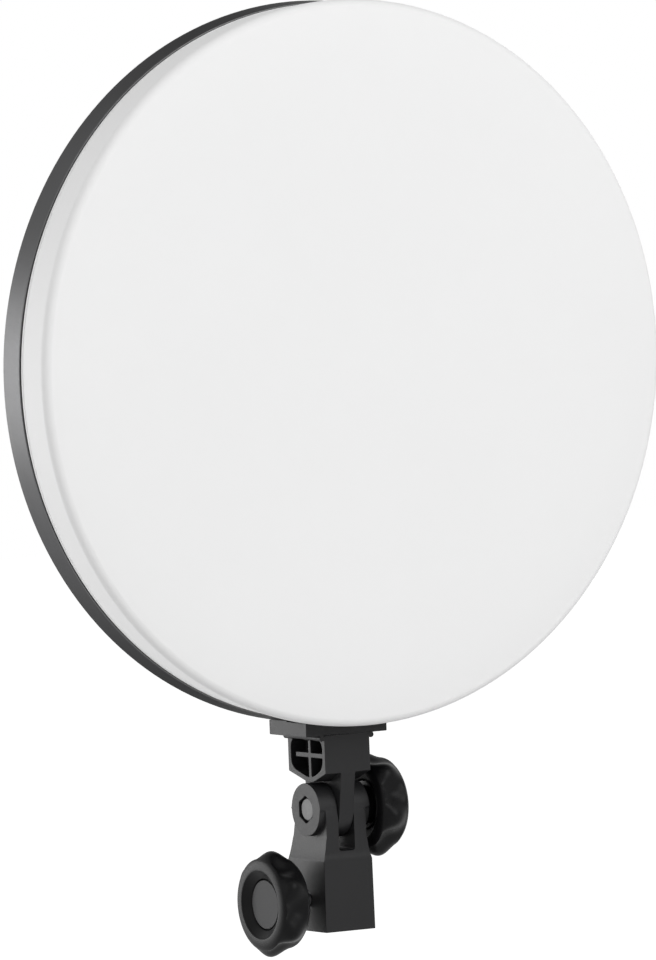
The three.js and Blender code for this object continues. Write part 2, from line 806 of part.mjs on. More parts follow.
function mountingBracket() {
  const footing = alongFront(rectangle(plateWidth, plateThick, 0, -plateBottom + plateThick / 2),
    -bracketBack, bracketFront);
  const riser = alongFront(roundedRectangle(plateWidth, plateBottom - riserTop, riserCorner,
    0, -(plateBottom + riserTop) / 2), rearSeat - riserThick, bracketFront);
  const neck = alongX(neckOutline(plateBottom - plateThick / 2, 0, 0),
    -neckWidth / 2, neckWidth / 2);
  const tongue = alongX(tongueOutline(), -tongueWidth / 2, tongueWidth / 2);
  const beads = [-1, 1].map((side) =>
    barFront(beadRadius, -bracketBack, bracketFront, side * (neckWidth / 2 + beadRadius - beadSunk),
      -plateBottom - beadRadius + beadSunk, screwSides));
  const cradle = barFront(panelRadius + seatGap, rearSeat, bracketFront + overrun, 0, 0,
    discSides * 2);
  const half = neckWidth / 2 + overrun;
  const pivotBore = barX(boltRadius + boreGap, -half, half, 0, -pivotDrop);
  const bores = holes(riserScrewPlaces, bracketScrew.shank + boreGap,
    rearSeat - riserThick - overrun, rearSeat + overrun);
  return cut(join(footing, riser, neck, tongue, ...beads), cradle, neckPocket(-1), neckPocket(1),
    pivotBore, ...bores);
}

// Stand head, drawn about the block's own axis. A place in front of the pivot is y = pivotY - t.
const pivotY = -pivotForward;
const slotHalf = tongueWidth / 2 + slotGap;

function headFromTheSide() {
  const half = blockDepth / 2;
  const crown = (earFront + earBack) / 2;
  const crownY = pivotY + (earBack - earFront) / 2;
  const shape = new THREE.Shape();
  shape.moveTo(half, 0);
  shape.lineTo(-half, 0);
  shape.lineTo(-half, blockHeight);
  shape.quadraticCurveTo(earSetBack - half, blockHeight, earSetBack - half, slotFloor);
  shape.lineTo(pivotY - earShoulder, pivotHeight - earShoulderDrop);
  shape.lineTo(crownY - crown, pivotHeight);
  shape.absellipse(crownY, pivotHeight, crown, earTop, Math.PI, Math.asin(earLeave / earTop), true);
  shape.quadraticCurveTo(pivotY + flankReach, pivotHeight - flankDrop,
    pivotY + flankFoot, blockHeight);
  return shape;
}

function headFromTheFront() {
  const [foot, top] = [blockWidth / 2, blockTopWidth / 2];
  const above = pivotHeight + 2 * earTop;
  const shape = new THREE.Shape();
  shape.moveTo(-foot, 0);
  shape.lineTo(foot, 0);
  shape.lineTo(top, blockHeight);
  shape.quadraticCurveTo(earRoot, blockHeight, earRoot, earRootHeight);
  shape.lineTo(earWaist, pivotHeight - earTop);
  shape.lineTo(bossFace, pivotHeight - bossRadius);
  shape.lineTo(bossFace, above);
  shape.lineTo(-bossFace, above);
  shape.lineTo(-bossFace, pivotHeight - bossRadius);
  shape.lineTo(-earWaist, pivotHeight - earTop);
  shape.lineTo(-earRoot, earRootHeight);
  shape.quadraticCurveTo(-earRoot, blockHeight, -top, blockHeight);
  return shape;
}

// A hexagon with a corner at the top, for a bar along X
function hexagon(flats, y, z) {
  const radius = flats / Math.sqrt(3);
  return polygon(Array.from({ length: 6 }, (_, i) => {
    const angle = Math.PI / 2 + i * Math.PI / 3;
    return [y + radius * Math.cos(angle), z + radius * Math.sin(angle)];
  }));
}

const boltFace = -bossFace + boltSunk;
const boltSeat = boltFace + boltHead;

function standBlock() {
  const reach = bossFace + overrun;
  const fromTheFront = solidOf(extrude(headFromTheFront(), blockDepth + 2 * overrun)
    .applyMatrix4(layAlongY).translate(0, blockDepth / 2 + overrun, 0));
  const body = fromTheFront.intersect(alongX(headFromTheSide(), -reach, reach));
  const boss = barX(bossRadius, -reach, reach, pivotY, pivotHeight, discSides / 2);
  const besideBoss = [-1, 1].map((side) => cut(
    alongX(rectangle(2 * blockDepth, earTop, pivotY, pivotHeight - earTop / 2),
      Math.min(side * earWaist, side * reach), Math.max(side * earWaist, side * reach)), boss));
  const slotTop = pivotHeight + 2 * earTop;
  const earSlot = solidOf(extrude(roundedRectangle(2 * slotHalf, slotTop - slotFloor, slotCorner, 0,
    (slotTop + slotFloor) / 2), blockDepth + 2 * overrun)
    .applyMatrix4(layAlongY).translate(0, blockDepth / 2 + overrun, 0));
  const socket = turnedZ([
    [0, -overrun], [socketRadius + socketChamfer + overrun, -overrun],
    [socketRadius, socketChamfer], [socketRadius, socketDepth], [0, socketDepth],
  ], shaftSides * 2);
  return cut(body, ...besideBoss, earSlot, socket,
    barX(boltRadius + boreGap, -reach, reach, pivotY, pivotHeight),
    alongX(hexagon(boltFlats + 2 * boreGap, pivotY, pivotHeight), -reach, boltSeat),
    barX(insertRadius + boreGap, -reach, 0, 0, clampHeight));
}

function tiltBolt() {
  const corner = boltFlats / Math.sqrt(3);
  const crown = turnedX([
    [0, boltFace], [boltFlats / 2 - boltCrown, boltFace], [boltFlats / 2, boltFace + boltCrown / 2],
    [corner, boltFace + boltCrown], [corner, boltSeat], [0, boltSeat],
  ], shaftSides, pivotY, pivotHeight);
  const head = alongX(hexagon(boltFlats, pivotY, pivotHeight), boltFace, boltSeat).intersect(crown);
  return join(head, barX(boltRadius, boltSeat - boltHead / 2, boltEnd, pivotY, pivotHeight));
}

// Knobs. The moulding is a revolve whose grip is pulled out at the lobes and in at the scallops.
function knobBody(turned) {
  const grip = knobFlangeAt - knobRingAt;
  const rings = Array.from({ length: knobRings - 1 }, (_, i) => {
    const share = (i + 1) / knobRings;
    return [knobRing + (knobFlange - knobRing) * share, knobRingAt + grip * share];
  });
  const profile = lathe([
    [0, knobBossDrop], [knobBoss, knobBossDrop], [knobBoss, knobRecessDepth],
    [knobRecess, knobRecessDepth], [knobRecess, 0], [knobLip, 0], [knobRing, knobRingAt],
    ...rings, [knobFlange, knobFlangeAt], [knobFoot, knobThick], [0, knobThick],
  ], knobSides).rotateZ(-Math.PI / 2);
  const position = profile.attributes.position;
  for (let i = 0; i < position.count; i += 1) {
    const [x, y, z] = new THREE.Vector3().fromBufferAttribute(position, i).toArray();
    const share = (x - knobRingAt) / grip;
    const radius = Math.hypot(y, z);
    if (share <= 0 || share >= 1 || radius < knobLip) continue;
    const angle = Math.atan2(z, -y) - THREE.MathUtils.degToRad(turned);
    const lobe = (1 - Math.cos(knobLobes * angle)) / 2;
    const swell = Math.sin(Math.PI * share ** widestShare);
    const pulled = radius + swell * (knobLobe * lobe - knobScallop * (1 - lobe));
    position.setXYZ(i, x, y * pulled / radius, z * pulled / radius);
  }
  return solidOf(profile);
}

// Clamp knob on the left: the recess faces outwards and a cap hides the head of the screw
const knobBack = -clampFace + knobThick;
const hubEnd = knobBack + hubLength;
const capSeat = -clampFace + knobBossDrop + capThick;
const clampScrewTop = capSeat + capSpigot + seatGap;
const clampScrewSeat = clampScrewTop + clampHead;
const insertInner = -socketRadius - clampInsertInset;
const padBack = -socketRadius - padThick;

function clampKnob() {
  const body = knobBody(clampTurned).translate([-clampFace, 0, clampHeight]);
  const hub = barX(hubRadius, knobBack - overrun, hubEnd, 0, clampHeight, knobSides);
  const capRoom = barX(knobBoss + overrun, -clampFace - overrun, capSeat, 0, clampHeight);
  const headRoom = barX(insertRadius + overrun, -clampFace, clampScrewSeat, 0, clampHeight);
  const bore = barX(boltRadius + boreGap, -clampFace, hubEnd + overrun, 0, clampHeight);
  return cut(join(body, hub), capRoom, headRoom, bore);
}

function clampKnobCap() {
  const disc = barX(knobBoss, -clampFace + knobBossDrop, capSeat, 0, clampHeight, knobSides);
  const spigot = barX(insertRadius + overrun - seatGap, capSeat - capThick / 2, capSeat + capSpigot,
    0, clampHeight);
  return join(disc, spigot);
}

function clampScrew() {
  const head = alongX(hexagon(boltFlats, 0, clampHeight), clampScrewTop, clampScrewSeat);
  return join(head, barX(boltRadius, clampScrewSeat - clampHead / 2, -clampEnd, 0, clampHeight));
}

const blockFace = -blockTopWidth / 2;

function clampInsert() {
  const sleeve = barX(insertRadius, blockFace + seatGap, insertInner, 0, clampHeight);
  return cut(sleeve, barX(boltRadius + boreGap, blockFace - overrun, 0, 0, clampHeight));
}

function pressurePad() {
  return barX(boltRadius, padBack, -socketRadius, 0, clampHeight);
}

// Tilt knob on the right, the same moulding with its recess towards the ear
const tiltInsertFace = tiltFace + knobBossDrop + seatGap;

function tiltKnob() {
  const body = knobBody(tiltTurned).translate([tiltFace, pivotY, pivotHeight]);
  const room = barX(insertRadius + boreGap, tiltFace, tiltInsertFace + tiltInsertLength + seatGap,
    pivotY, pivotHeight);
  return cut(body, room);
}

function tiltInsert() {
  const end = tiltInsertFace + tiltInsertLength;
  const sleeve = barX(insertRadius, tiltInsertFace, end, pivotY, pivotHeight);
  return cut(sleeve, barX(boltRadius + boreGap, tiltFace, boltEnd + seatGap, pivotY, pivotHeight));
}

function tiltSpacer() {
  const [near, far] = [bossFace + seatGap, tiltFace + knobBossDrop - seatGap];
  const ring = barX(spacerRadius, near, far, pivotY, pivotHeight, discSides / 2);
  return cut(ring, barX(boltRadius + boreGap, near - overrun, far + overrun, pivotY, pivotHeight));
}

// The assembly
addPart(panelParts, 'housing_rim', housingRim(), 'rimMetal');
addPart(panelParts, 'front_diffuser', frontDiffuser(), 'opal');
addPart(panelParts, 'led_board', ledBoard(), 'boardWhite');
addPart(panelParts, 'reflector_ring', reflectorRing(), 'white');
addPart(panelParts, 'rear_cover', rearCover(), 'darkPlastic');
addPart(panelParts, 'driver_board', driverBoard(), 'boardGreen');
addPart(panelParts, 'display_window', displayWindow(), 'smokedClear');
addPart(panelParts, 'display_module', displayModule(), 'blackPlastic');
addPart(panelParts, 'brightness_dial', controlDial(-dialX), 'greyPlastic');
addPart(panelParts, 'colour_dial', controlDial(dialX), 'greyPlastic');
addPart(panelParts, 'brightness_encoder', encoder(-dialX), 'steel');
addPart(panelParts, 'colour_encoder', encoder(dialX), 'steel');
addPart(panelParts, 'power_switch', powerSwitch(), 'blackPlastic');
addPart(panelParts, 'power_rocker', powerRocker(), 'greyPlastic');
addPart(panelParts, 'dc_inlet', dcInlet(), 'blackPlastic');
addPart(panelParts, 'battery_plate', batteryPlate(), 'blackPlastic');
addPart(panelParts, 'battery_contacts', batteryContacts(), 'brass');
addPart(panelParts, 'battery_release', batteryRelease(), 'greyPlastic');
coverScrewPlaces.forEach(([x, z], i) => addPart(panelParts, `cover_screw_${i + 1}`,
  frontScrew(coverScrew, rearFlangeBack, flangeThick - seatGap, x, z), 'blackSteel'));
boardScrewPlaces.forEach(([x, z], i) => addPart(panelParts, `board_screw_${i + 1}`,
  frontScrew(coverScrew, boardFront, seatGap, x, z), 'steel'));
addPart(panelParts, 'mounting_bracket', mountingBracket(), 'darkPlastic');
riserScrewPlaces.forEach(([x, z], i) => addPart(panelParts, ['bracket_screw_left',
  'bracket_screw_right'][i],
frontScrew(bracketScrew, rearSeat - riserThick, flangeThick - seatGap, x, z), 'blackSteel'));

addPart(standParts, 'stand_block', standBlock(), 'darkPlastic');
addPart(standParts, 'tilt_bolt', tiltBolt(), 'steel');
addPart(standParts, 'tilt_spacer', tiltSpacer(), 'blackPlastic');
addPart(standParts, 'tilt_knob', tiltKnob(), 'blackPlastic');
addPart(standParts, 'tilt_insert', tiltInsert(), 'brass');
addPart(standParts, 'clamp_knob', clampKnob(), 'blackPlastic');
addPart(standParts, 'clamp_knob_cap', clampKnobCap(), 'greyPlastic');
addPart(standParts, 'clamp_screw', clampScrew(), 'steel');
addPart(standParts, 'clamp_insert', clampInsert(), 'blackSteel');
addPart(standParts, 'pressure_pad', pressurePad(), 'nylon');

const panel = new THREE.Group();
panel.add(...panelParts);
panel.position.set(0, pivotY, pivotHeight + pivotDrop);

const light = new THREE.Group();
light.add(...standParts, panel);

export default light;
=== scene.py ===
"""Round LED panel light on a tilting stand head: looks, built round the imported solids."""

from math import acos, atan, atan2, cos, degrees, hypot, pi, radians, sin, sqrt, tau

import bmesh
import bpy
from mathutils import Matrix, Vector


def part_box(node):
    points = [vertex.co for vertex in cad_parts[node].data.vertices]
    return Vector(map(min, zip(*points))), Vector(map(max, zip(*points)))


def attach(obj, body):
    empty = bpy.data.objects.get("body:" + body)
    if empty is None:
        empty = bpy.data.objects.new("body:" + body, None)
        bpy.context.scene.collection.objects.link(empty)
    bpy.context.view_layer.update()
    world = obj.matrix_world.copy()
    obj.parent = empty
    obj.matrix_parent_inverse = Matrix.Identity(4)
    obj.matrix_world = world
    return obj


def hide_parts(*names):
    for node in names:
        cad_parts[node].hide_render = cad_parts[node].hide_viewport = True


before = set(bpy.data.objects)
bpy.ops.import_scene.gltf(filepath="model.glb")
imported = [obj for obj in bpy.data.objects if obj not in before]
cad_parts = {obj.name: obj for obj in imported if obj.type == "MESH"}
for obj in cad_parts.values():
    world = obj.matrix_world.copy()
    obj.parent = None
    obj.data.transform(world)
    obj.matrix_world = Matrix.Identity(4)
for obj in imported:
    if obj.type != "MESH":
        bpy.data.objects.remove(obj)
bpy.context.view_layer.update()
MM = 0.001

# Places taken from the frame, in metres
rim_low, rim_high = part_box("housing_rim")
cover_low, cover_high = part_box("front_diffuser")
rear_low, rear_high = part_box("rear_cover")
BACK_Y = rim_high.y
RIM_Z = (rim_low.z + rim_high.z) / 2
RIM_RADIUS = (rim_high.x - rim_low.x) / 2
RIM_DEPTH = rim_high.y - rim_low.y
REAR_DEPTH = rear_high.y - rim_high.y
SEAT_GAP = 0.3 * MM
CUT_PAST = 2 * MM


# Materials


def linear(code):
    """An sRGB hex colour as linear RGBA."""
    levels = [int(code[i:i + 2], 16) / 255 for i in (1, 3, 5)]
    return [c / 12.92 if c <= 0.04045 else ((c + 0.055) / 1.055) ** 2.4 for c in levels] + [1]


def node(tree, kind, sockets=None, **settings):
    """Adds a node. sockets maps an input's name or number to its value, or to what feeds it: an
    output, or a node by its first output."""
    made = tree.nodes.new(kind)
    for key, value in settings.items():
        setattr(made, key, value)
    for key, value in (sockets or {}).items():
        if isinstance(value, bpy.types.Node):
            value = value.outputs[0]
        if isinstance(value, bpy.types.NodeSocket):
            tree.links.new(value, made.inputs[key])
        else:
            made.inputs[key].default_value = value
    return made


def blank_tree(owner):
    """The node tree of a material or a world, emptied."""
    owner.use_nodes = True
    owner.node_tree.nodes.clear()
    return owner.node_tree


BLOTCH_DETAIL = 3.0
GRAIN_DETAIL = 2.0
NOISE_LOW, NOISE_HIGH = 0.3, 0.7
GRAIN_RELIEF = 1 / 4


def finish_material(name, base, tint, rough, bump, grain_mm=0.5, metallic=0.0, ior=1.5,
                    blotch_mm=30.0, rough_swing=0.06, stretch=(1, 1, 1), specular=0.5,
                    edge="#ffffff"):
    """A finish whose colour drifts between two tones and whose grain gives bump and roughness."""
    material = bpy.data.materials.new(name)
    tree = blank_tree(material)
    place = node(tree, "ShaderNodeTexCoord").outputs["Object"]
    stretched = node(tree, "ShaderNodeMapping", {"Vector": place, "Scale": stretch})
    blotch = node(tree, "ShaderNodeTexNoise", {
        "Vector": place, "Scale": 1 / (blotch_mm * MM), "Detail": BLOTCH_DETAIL})
    grain = node(tree, "ShaderNodeTexNoise", {
        "Vector": stretched, "Scale": 1 / (grain_mm * MM), "Detail": GRAIN_DETAIL})
    colour = node(tree, "ShaderNodeMix", {"Factor": blotch, 6: linear(base), 7: linear(tint)},
                  data_type="RGBA").outputs[2]
    roughness = node(tree, "ShaderNodeMapRange", {
        "Value": grain, "From Min": NOISE_LOW, "From Max": NOISE_HIGH,
        "To Min": rough - rough_swing, "To Max": rough + rough_swing})
    relief = node(tree, "ShaderNodeBump", {
        "Height": grain, "Strength": bump, "Distance": grain_mm * MM * GRAIN_RELIEF})
    shader = node(tree, "ShaderNodeBsdfPrincipled", {
        "Base Color": colour, "Roughness": roughness, "Normal": relief,
        "Metallic": metallic, "IOR": ior, "Specular IOR Level": specular,
        "Specular Tint": linear(edge)})
    node(tree, "ShaderNodeOutputMaterial", {"Surface": shader})
    return material


# Opal acrylic, moulded: milky white with a soft satin skin
opal_acrylic = finish_material(
    "opal_acrylic", "#f2f2f2", "#f0f0f0", rough=0.55, bump=0.03, ior=1.49,
    blotch_mm=60, specular=0.1)
# Aluminium, anodised black: an even fine grain with a broad metal sheen and dull edges
black_aluminium = finish_material(
    "black_aluminium", "#616162", "#595959", rough=0.4, grain_mm=0.4, bump=0.1,
    metallic=1.0, edge="#858585")
# Glass-filled nylon, moulded on a lightly eroded tool: dull black with a soft grazing sheen
filled_nylon = finish_material(
    "filled_nylon", "#1f1f20", "#19191a", rough=0.46, bump=0.14, specular=0.2)
# ABS, moulded satin black: deep black with a faint even sheen
satin_abs = finish_material(
    "satin_abs", "#0c0c0d", "#09090a", rough=0.4, grain_mm=0.4, bump=0.08,
    specular=0.1)
# ABS, moulded in charcoal: a dark grey that its spark-eroded grain keeps matt
charcoal_abs = finish_material(
    "charcoal_abs", "#2a2a2b", "#262627", rough=0.52, bump=0.14,
    specular=0.16)
# Steel, zinc plated: grey and slightly cloudy
zinc_steel = finish_material(
    "zinc_steel", "#8c8c8e", "#7c7c7f", rough=0.45, grain_mm=0.4, bump=0.2,
    metallic=1.0, blotch_mm=3)
# Steel, phosphated: a dull grainy grey
phosphated_steel = finish_material(
    "phosphated_steel", "#6b6b6b", "#545454", rough=0.6, grain_mm=0.35, bump=0.35,
    metallic=1.0, blotch_mm=1.5)
# Steel, blackened in oil: dark with a dull metal glint
black_steel = finish_material(
    "black_steel", "#2a2a2c", "#202022", rough=0.4, grain_mm=0.4, bump=0.08,
    metallic=0.9, blotch_mm=3)
# Brass, turned: fine rings of tool marks
turned_brass = finish_material(
    "turned_brass", "#b08d4a", "#a07f40", rough=0.32, grain_mm=0.3, bump=0.1,
    metallic=1.0, blotch_mm=5, stretch=(6, 1, 1))
# Polycarbonate, white and matt: throws light back into the cover
white_polycarbonate = finish_material(
    "white_polycarbonate", "#f2f2f0", "#ececea", rough=0.5, bump=0.05)
# Aluminium board under white solder mask: bright, with a dull gloss
white_mask = finish_material(
    "white_mask", "#e9ebe8", "#e0e3df", rough=0.45, grain_mm=0.4, bump=0.06)
# Glass-epoxy board under green solder mask: deep green, half glossy
green_mask = finish_material("green_mask", "#1d5234", "#17472c", rough=0.4, bump=0.08)
# Acrylic, smoked and polished: near black, with clear reflections
smoked_acrylic = finish_material(
    "smoked_acrylic", "#0c0d0f", "#101214", rough=0.08, bump=0.0, ior=1.49,
    rough_swing=0.02)
# Nylon, natural: a waxy off-white
natural_nylon = finish_material("natural_nylon", "#d3d0c8", "#cbc8bf", rough=0.45, bump=0.08)
# Enamel, pad printed: thin marks in a flat white
white_enamel = finish_material(
    "white_enamel", "#d9d9d7", "#d0d0ce", rough=0.5, grain_mm=0.3, bump=0.05)

# Which finish each CAD node takes. Screws aren't listed: the board's are zinc plated, others black
NODE_FINISHES = (
    (black_aluminium, "housing_rim"),
    (opal_acrylic, "front_diffuser"),
    (white_mask, "led_board"),
    (white_polycarbonate, "reflector_ring"),
    (green_mask, "driver_board"),
    (smoked_acrylic, "display_window"),
    (filled_nylon, "rear_cover", "mounting_bracket", "stand_block"),
    (satin_abs, "display_module", "power_switch", "dc_inlet", "battery_plate", "tilt_spacer",
     "tilt_knob", "clamp_knob"),
    (charcoal_abs, "brightness_dial", "colour_dial", "power_rocker", "battery_release",
     "clamp_knob_cap"),
    (zinc_steel, "brightness_encoder", "colour_encoder", "clamp_screw"),
    (turned_brass, "battery_contacts", "tilt_insert"),
    (phosphated_steel, "tilt_bolt"),
    (black_steel, "clamp_insert"),
    (natural_nylon, "pressure_pad"),
)
finishes = {name: finish for finish, *names in NODE_FINISHES for name in names}
for name, cad_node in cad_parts.items():
    screw_finish = zinc_steel if name.startswith("board") else black_steel
    cad_node.data.materials.clear()
    cad_node.data.materials.append(finishes.get(name, screw_finish))


# Meshes. Angles are in degrees

MERGE_WITHIN = 0.002 * MM
FLAT_WITHIN = 1
BEVEL_STEPS = 2
SMOOTH_UNDER = 35
MOULDED_EDGE = 0.35 * MM


def along_front(x, t, z):
    """A place on the panel: x and z from its centre, t in front of the rim's back face."""
    return Vector((x, BACK_Y - t, RIM_Z + z))


def revolve(profile, place, steps=192):
    """A closed skin: a profile of (radius, height) turned in full, each point laid out by place."""
    made = bmesh.new()
    rings = []
    for radius, height in profile:
        rings.append([made.verts.new(place(radius, height, tau * i / steps))
                      for i in range(steps if radius else 1)])
    pairs = list(zip(rings, rings[1:]))
    if profile[0][0] > 0:
        pairs.append((rings[-1], rings[0]))
    for inner, outer in pairs:
        for i in range(steps):
            j = (i + 1) % steps
            corners = [inner[i % len(inner)], inner[j % len(inner)],
                       outer[j % len(outer)], outer[i % len(outer)]]
            made.faces.new(list(dict.fromkeys(corners)))
    bmesh.ops.recalc_face_normals(made, faces=made.faces)
    return made


def bar(radius, low, high, place, steps=64):
    """A round bar between two heights."""
    return revolve([(0, low), (radius, low), (radius, high), (0, high)], place, steps)


def round_front(x=0.0, z=0.0):
    """Places round a line that runs front to back through x, z on the panel."""
    return lambda radius, height, angle: along_front(
        x + radius * cos(angle), height, z + radius * sin(angle))


def round_x(axis):
    """Places round a line along X through a point. The angle runs from the front upwards."""
    return lambda radius, height, angle: Vector(
        (height, axis.y - radius * cos(angle), axis.z + radius * sin(angle)))


def on_panel(x, z, t):
    """A place of a prism that runs front to back on the panel."""
    return along_front(x, t, z)


def across(y, z, x):
    """A place of a prism that runs from left to right."""
    return Vector((x, y, z))


def prism(outline, low, high, place=on_panel):
    """A closed slab: an outline of points that place lays out, from one depth to another."""
    made = bmesh.new()
    ends = [[made.verts.new(place(*point, depth)) for point in outline] for depth in (low, high)]
    for corners in ends:
        made.faces.new(corners)
    for i in range(len(outline)):
        j = (i + 1) % len(outline)
        made.faces.new([ends[0][i], ends[0][j], ends[1][j], ends[1][i]])
    bmesh.ops.recalc_face_normals(made, faces=made.faces)
    return made


def rounded(width, height, corner, x=0.0, z=0.0, steps=6):
    """The outline of a rectangle with round corners."""
    points = []
    for quarter, (side_x, side_z) in enumerate([(1, 1), (-1, 1), (-1, -1), (1, -1)]):
        points += arc(x + side_x * (width / 2 - corner), z + side_z * (height / 2 - corner), corner,
                      90 * quarter, 90 * quarter + 90, steps)
    return points


def oblong(left, low, right, high):
    """The outline of a rectangle between two corners."""
    return [(left, low), (right, low), (right, high), (left, high)]


def square(width, height, x=0.0, z=0.0):
    """The outline of a rectangle round its middle."""
    return oblong(x - width / 2, z - height / 2, x + width / 2, z + height / 2)


def curve(start, control, end, steps=8):
    """Points of a quadratic curve between two points, without the first."""
    start, control, end = Vector(start), Vector(control), Vector(end)
    return [tuple(start * (1 - s) ** 2 + control * 2 * s * (1 - s) + end * s ** 2)
            for s in (i / steps for i in range(1, steps + 1))]


def from_meshes(*meshes):
    """A bmesh of one mesh or several."""
    whole = bmesh.new()
    for mesh in meshes:
        whole.from_mesh(mesh)
    return whole


def plain(made):
    """The mesh of a bmesh, which is used up."""
    mesh = bpy.data.meshes.new("skin")
    made.to_mesh(mesh)
    made.free()
    return mesh


def arc(radius, height, size, start, end, steps):
    """Points of a round of a profile, between two angles in degrees from the outward direction."""
    angles = [radians(start + (end - start) * i / steps) for i in range(steps + 1)]
    return [(radius + size * cos(a), height + size * sin(a)) for a in angles]


def placed(name, data):
    """A new object in the scene."""
    new = bpy.data.objects.new(name, data)
    bpy.context.scene.collection.objects.link(new)
    return new


def piece(name, made, body, material, nodes=()):
    """An object made of a bmesh or a mesh. It rides on a body and may replace CAD nodes."""
    mesh = plain(made) if isinstance(made, bmesh.types.BMesh) else made
    mesh.polygons.foreach_set("use_smooth", [True] * len(mesh.polygons))
    mesh.polygons.foreach_set("material_index", [0] * len(mesh.polygons))
    mesh.set_sharp_from_angle(angle=radians(SMOOTH_UNDER))
    mesh = settled(mesh, "WEIGHTED_NORMAL", {"keep_sharp": True})
    mesh.name = name
    mesh.materials.clear()
    mesh.materials.append(material)
    new = placed(name, mesh)
    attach(new, body)
    if nodes:
        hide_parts(*nodes)


def settled(source, kind, settings):
    """The mesh that is left when a modifier is applied to a mesh. A setting that the modifier
    doesn't have is an input of its node tree."""
    holder = placed("holder", source)
    added = holder.modifiers.new(kind, kind)
    for key, value in settings.items():
        if hasattr(added, key):
            setattr(added, key, value)
        else:
            added[key] = value
    seen = holder.evaluated_get(bpy.context.evaluated_depsgraph_get())
    mesh = bpy.data.meshes.new_from_object(seen)
    bpy.data.objects.remove(holder)
    return mesh


def combined(mesh, operation, *tools):
    """A mesh that bmeshes are joined to or cut out of, or that is kept only where they overlap."""
    for tool in tools:
        other = placed("other", plain(tool))
        mesh = settled(mesh, "BOOLEAN",
                       {"object": other, "operation": operation, "solver": "EXACT"})
        bpy.data.objects.remove(other)
    return mesh


def bevelled(mesh, width, angle=32):
    """A mesh with its flat faces whole again, and its edges sharper than an angle rounded off."""
    whole = from_meshes(mesh)
    bmesh.ops.remove_doubles(whole, verts=whole.verts, dist=MERGE_WITHIN)
    bmesh.ops.dissolve_limit(whole, angle_limit=radians(FLAT_WITHIN), verts=whole.verts,
                             edges=whole.edges)
    return settled(plain(whole), "BEVEL", {
        "width": width, "segments": BEVEL_STEPS, "limit_method": "ANGLE",
        "angle_limit": radians(angle), "use_clamp_overlap": False, "miter_outer": "MITER_ARC"})


def carved(body, tools, width, angle=40):
    """A bmesh with others cut out of it, and then its edges broken."""
    cut_out = from_meshes(*map(plain, tools))
    return bevelled(combined(plain(body), "DIFFERENCE", cut_out), width, angle)


def softened(name, width=MOULDED_EDGE, angle=28):
    """A copy of a CAD node with its edges broken."""
    return bevelled(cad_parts[name].data.copy(), width, angle)


# Opal cover: side wall that leans out a little, rounded edge and shallow dome

COVER_WALL = 2 * MM
COVER_FLARE = 1.2 * MM
COVER_ROUND = 4.5 * MM
COVER_SWELL = 0.5 * MM
COVER_CROWN = 3 * MM
COVER_CHAMFER = 0.3 * MM
DOME_POWER = 9
DOME_STEPS = 24
SPIGOT_INSET = 3.1 * MM
SPIGOT_WALL = 1.7 * MM
GROOVE_AT = 1.3 * MM
GROOVE_WIDTH = 0.7 * MM
GROOVE_DEPTH = 0.3 * MM


def dome(edge_radius, edge_depth, rounding, crown, steps):
    """A front that is nearly flat in the middle, falls off faster and faster, and ends in a rounded
    edge. Points run from the middle outwards."""
    foot = edge_radius - rounding
    shares = [1 - (1 - i / steps) ** 2 for i in range(steps + 1)]
    top = [(foot * share, edge_depth + crown * (1 - share ** DOME_POWER)) for share in shares]
    lean = degrees(atan(DOME_POWER * crown / foot))
    return top + arc(foot, edge_depth - rounding, rounding, 90 - lean, 0, steps // 2)[1:]


def front_cover():
    """The cover's skin: dome, side wall with a groove, spigot inside the rim, and inner face."""
    front = (cover_high.x - cover_low.x) / 2 + COVER_SWELL
    root = front - COVER_FLARE - COVER_SWELL
    depth = BACK_Y - cover_low.y - COVER_CROWN
    foot = BACK_Y - cover_high.y
    seat = RIM_DEPTH + SEAT_GAP
    spigot = RIM_RADIUS - SPIGOT_INSET
    outer = dome(front, depth, COVER_ROUND, COVER_CROWN, DOME_STEPS)
    groove = [(root, seat + GROOVE_AT + GROOVE_WIDTH),
              (root - GROOVE_DEPTH, seat + GROOVE_AT + GROOVE_WIDTH - GROOVE_DEPTH / 2),
              (root - GROOVE_DEPTH, seat + GROOVE_AT + GROOVE_DEPTH / 2), (root, seat + GROOVE_AT)]
    inner = dome(front - COVER_WALL, depth - COVER_WALL, COVER_ROUND - COVER_WALL, COVER_CROWN,
                 DOME_STEPS // 2)
    wall = [(root, seat + COVER_CHAMFER), (root - COVER_CHAMFER, seat), (spigot, seat),
            (spigot, foot), (spigot - SPIGOT_WALL, foot), (spigot - SPIGOT_WALL, seat + COVER_WALL)]
    return revolve(outer + groove + wall + inner[::-1], round_front())


piece("opal_cover", front_cover(), "lamp", opal_acrylic, ["front_diffuser"])


# Rim: a band with its flange, edges broken as on a spun part

RIM_TAPER = 0.6 * MM
RIM_WALL = 2.2 * MM
RIM_EDGE = 0.35 * MM
RIM_CHAMFER = 0.2 * MM
RIM_EDGE_STEPS = 4
FLANGE_WIDTH = 21 * MM
FLANGE_THICK = 3 * MM


def rim_band():
    """The rim's skin: a slightly tapered band and the flange that closes it at the back."""
    front = RIM_RADIUS - RIM_TAPER
    inner = front - RIM_WALL
    flange = RIM_RADIUS - FLANGE_WIDTH
    profile = [(flange, RIM_CHAMFER), (flange + RIM_CHAMFER, 0)]
    profile += arc(RIM_RADIUS - RIM_EDGE, RIM_EDGE, RIM_EDGE, -90, 0, RIM_EDGE_STEPS)
    profile += arc(front - RIM_EDGE, RIM_DEPTH - RIM_EDGE, RIM_EDGE, 0, 90, RIM_EDGE_STEPS)
    profile += [(inner + RIM_CHAMFER, RIM_DEPTH), (inner, RIM_DEPTH - RIM_CHAMFER),
                (inner, FLANGE_THICK), (flange, FLANGE_THICK)]
    return revolve(profile, round_front())


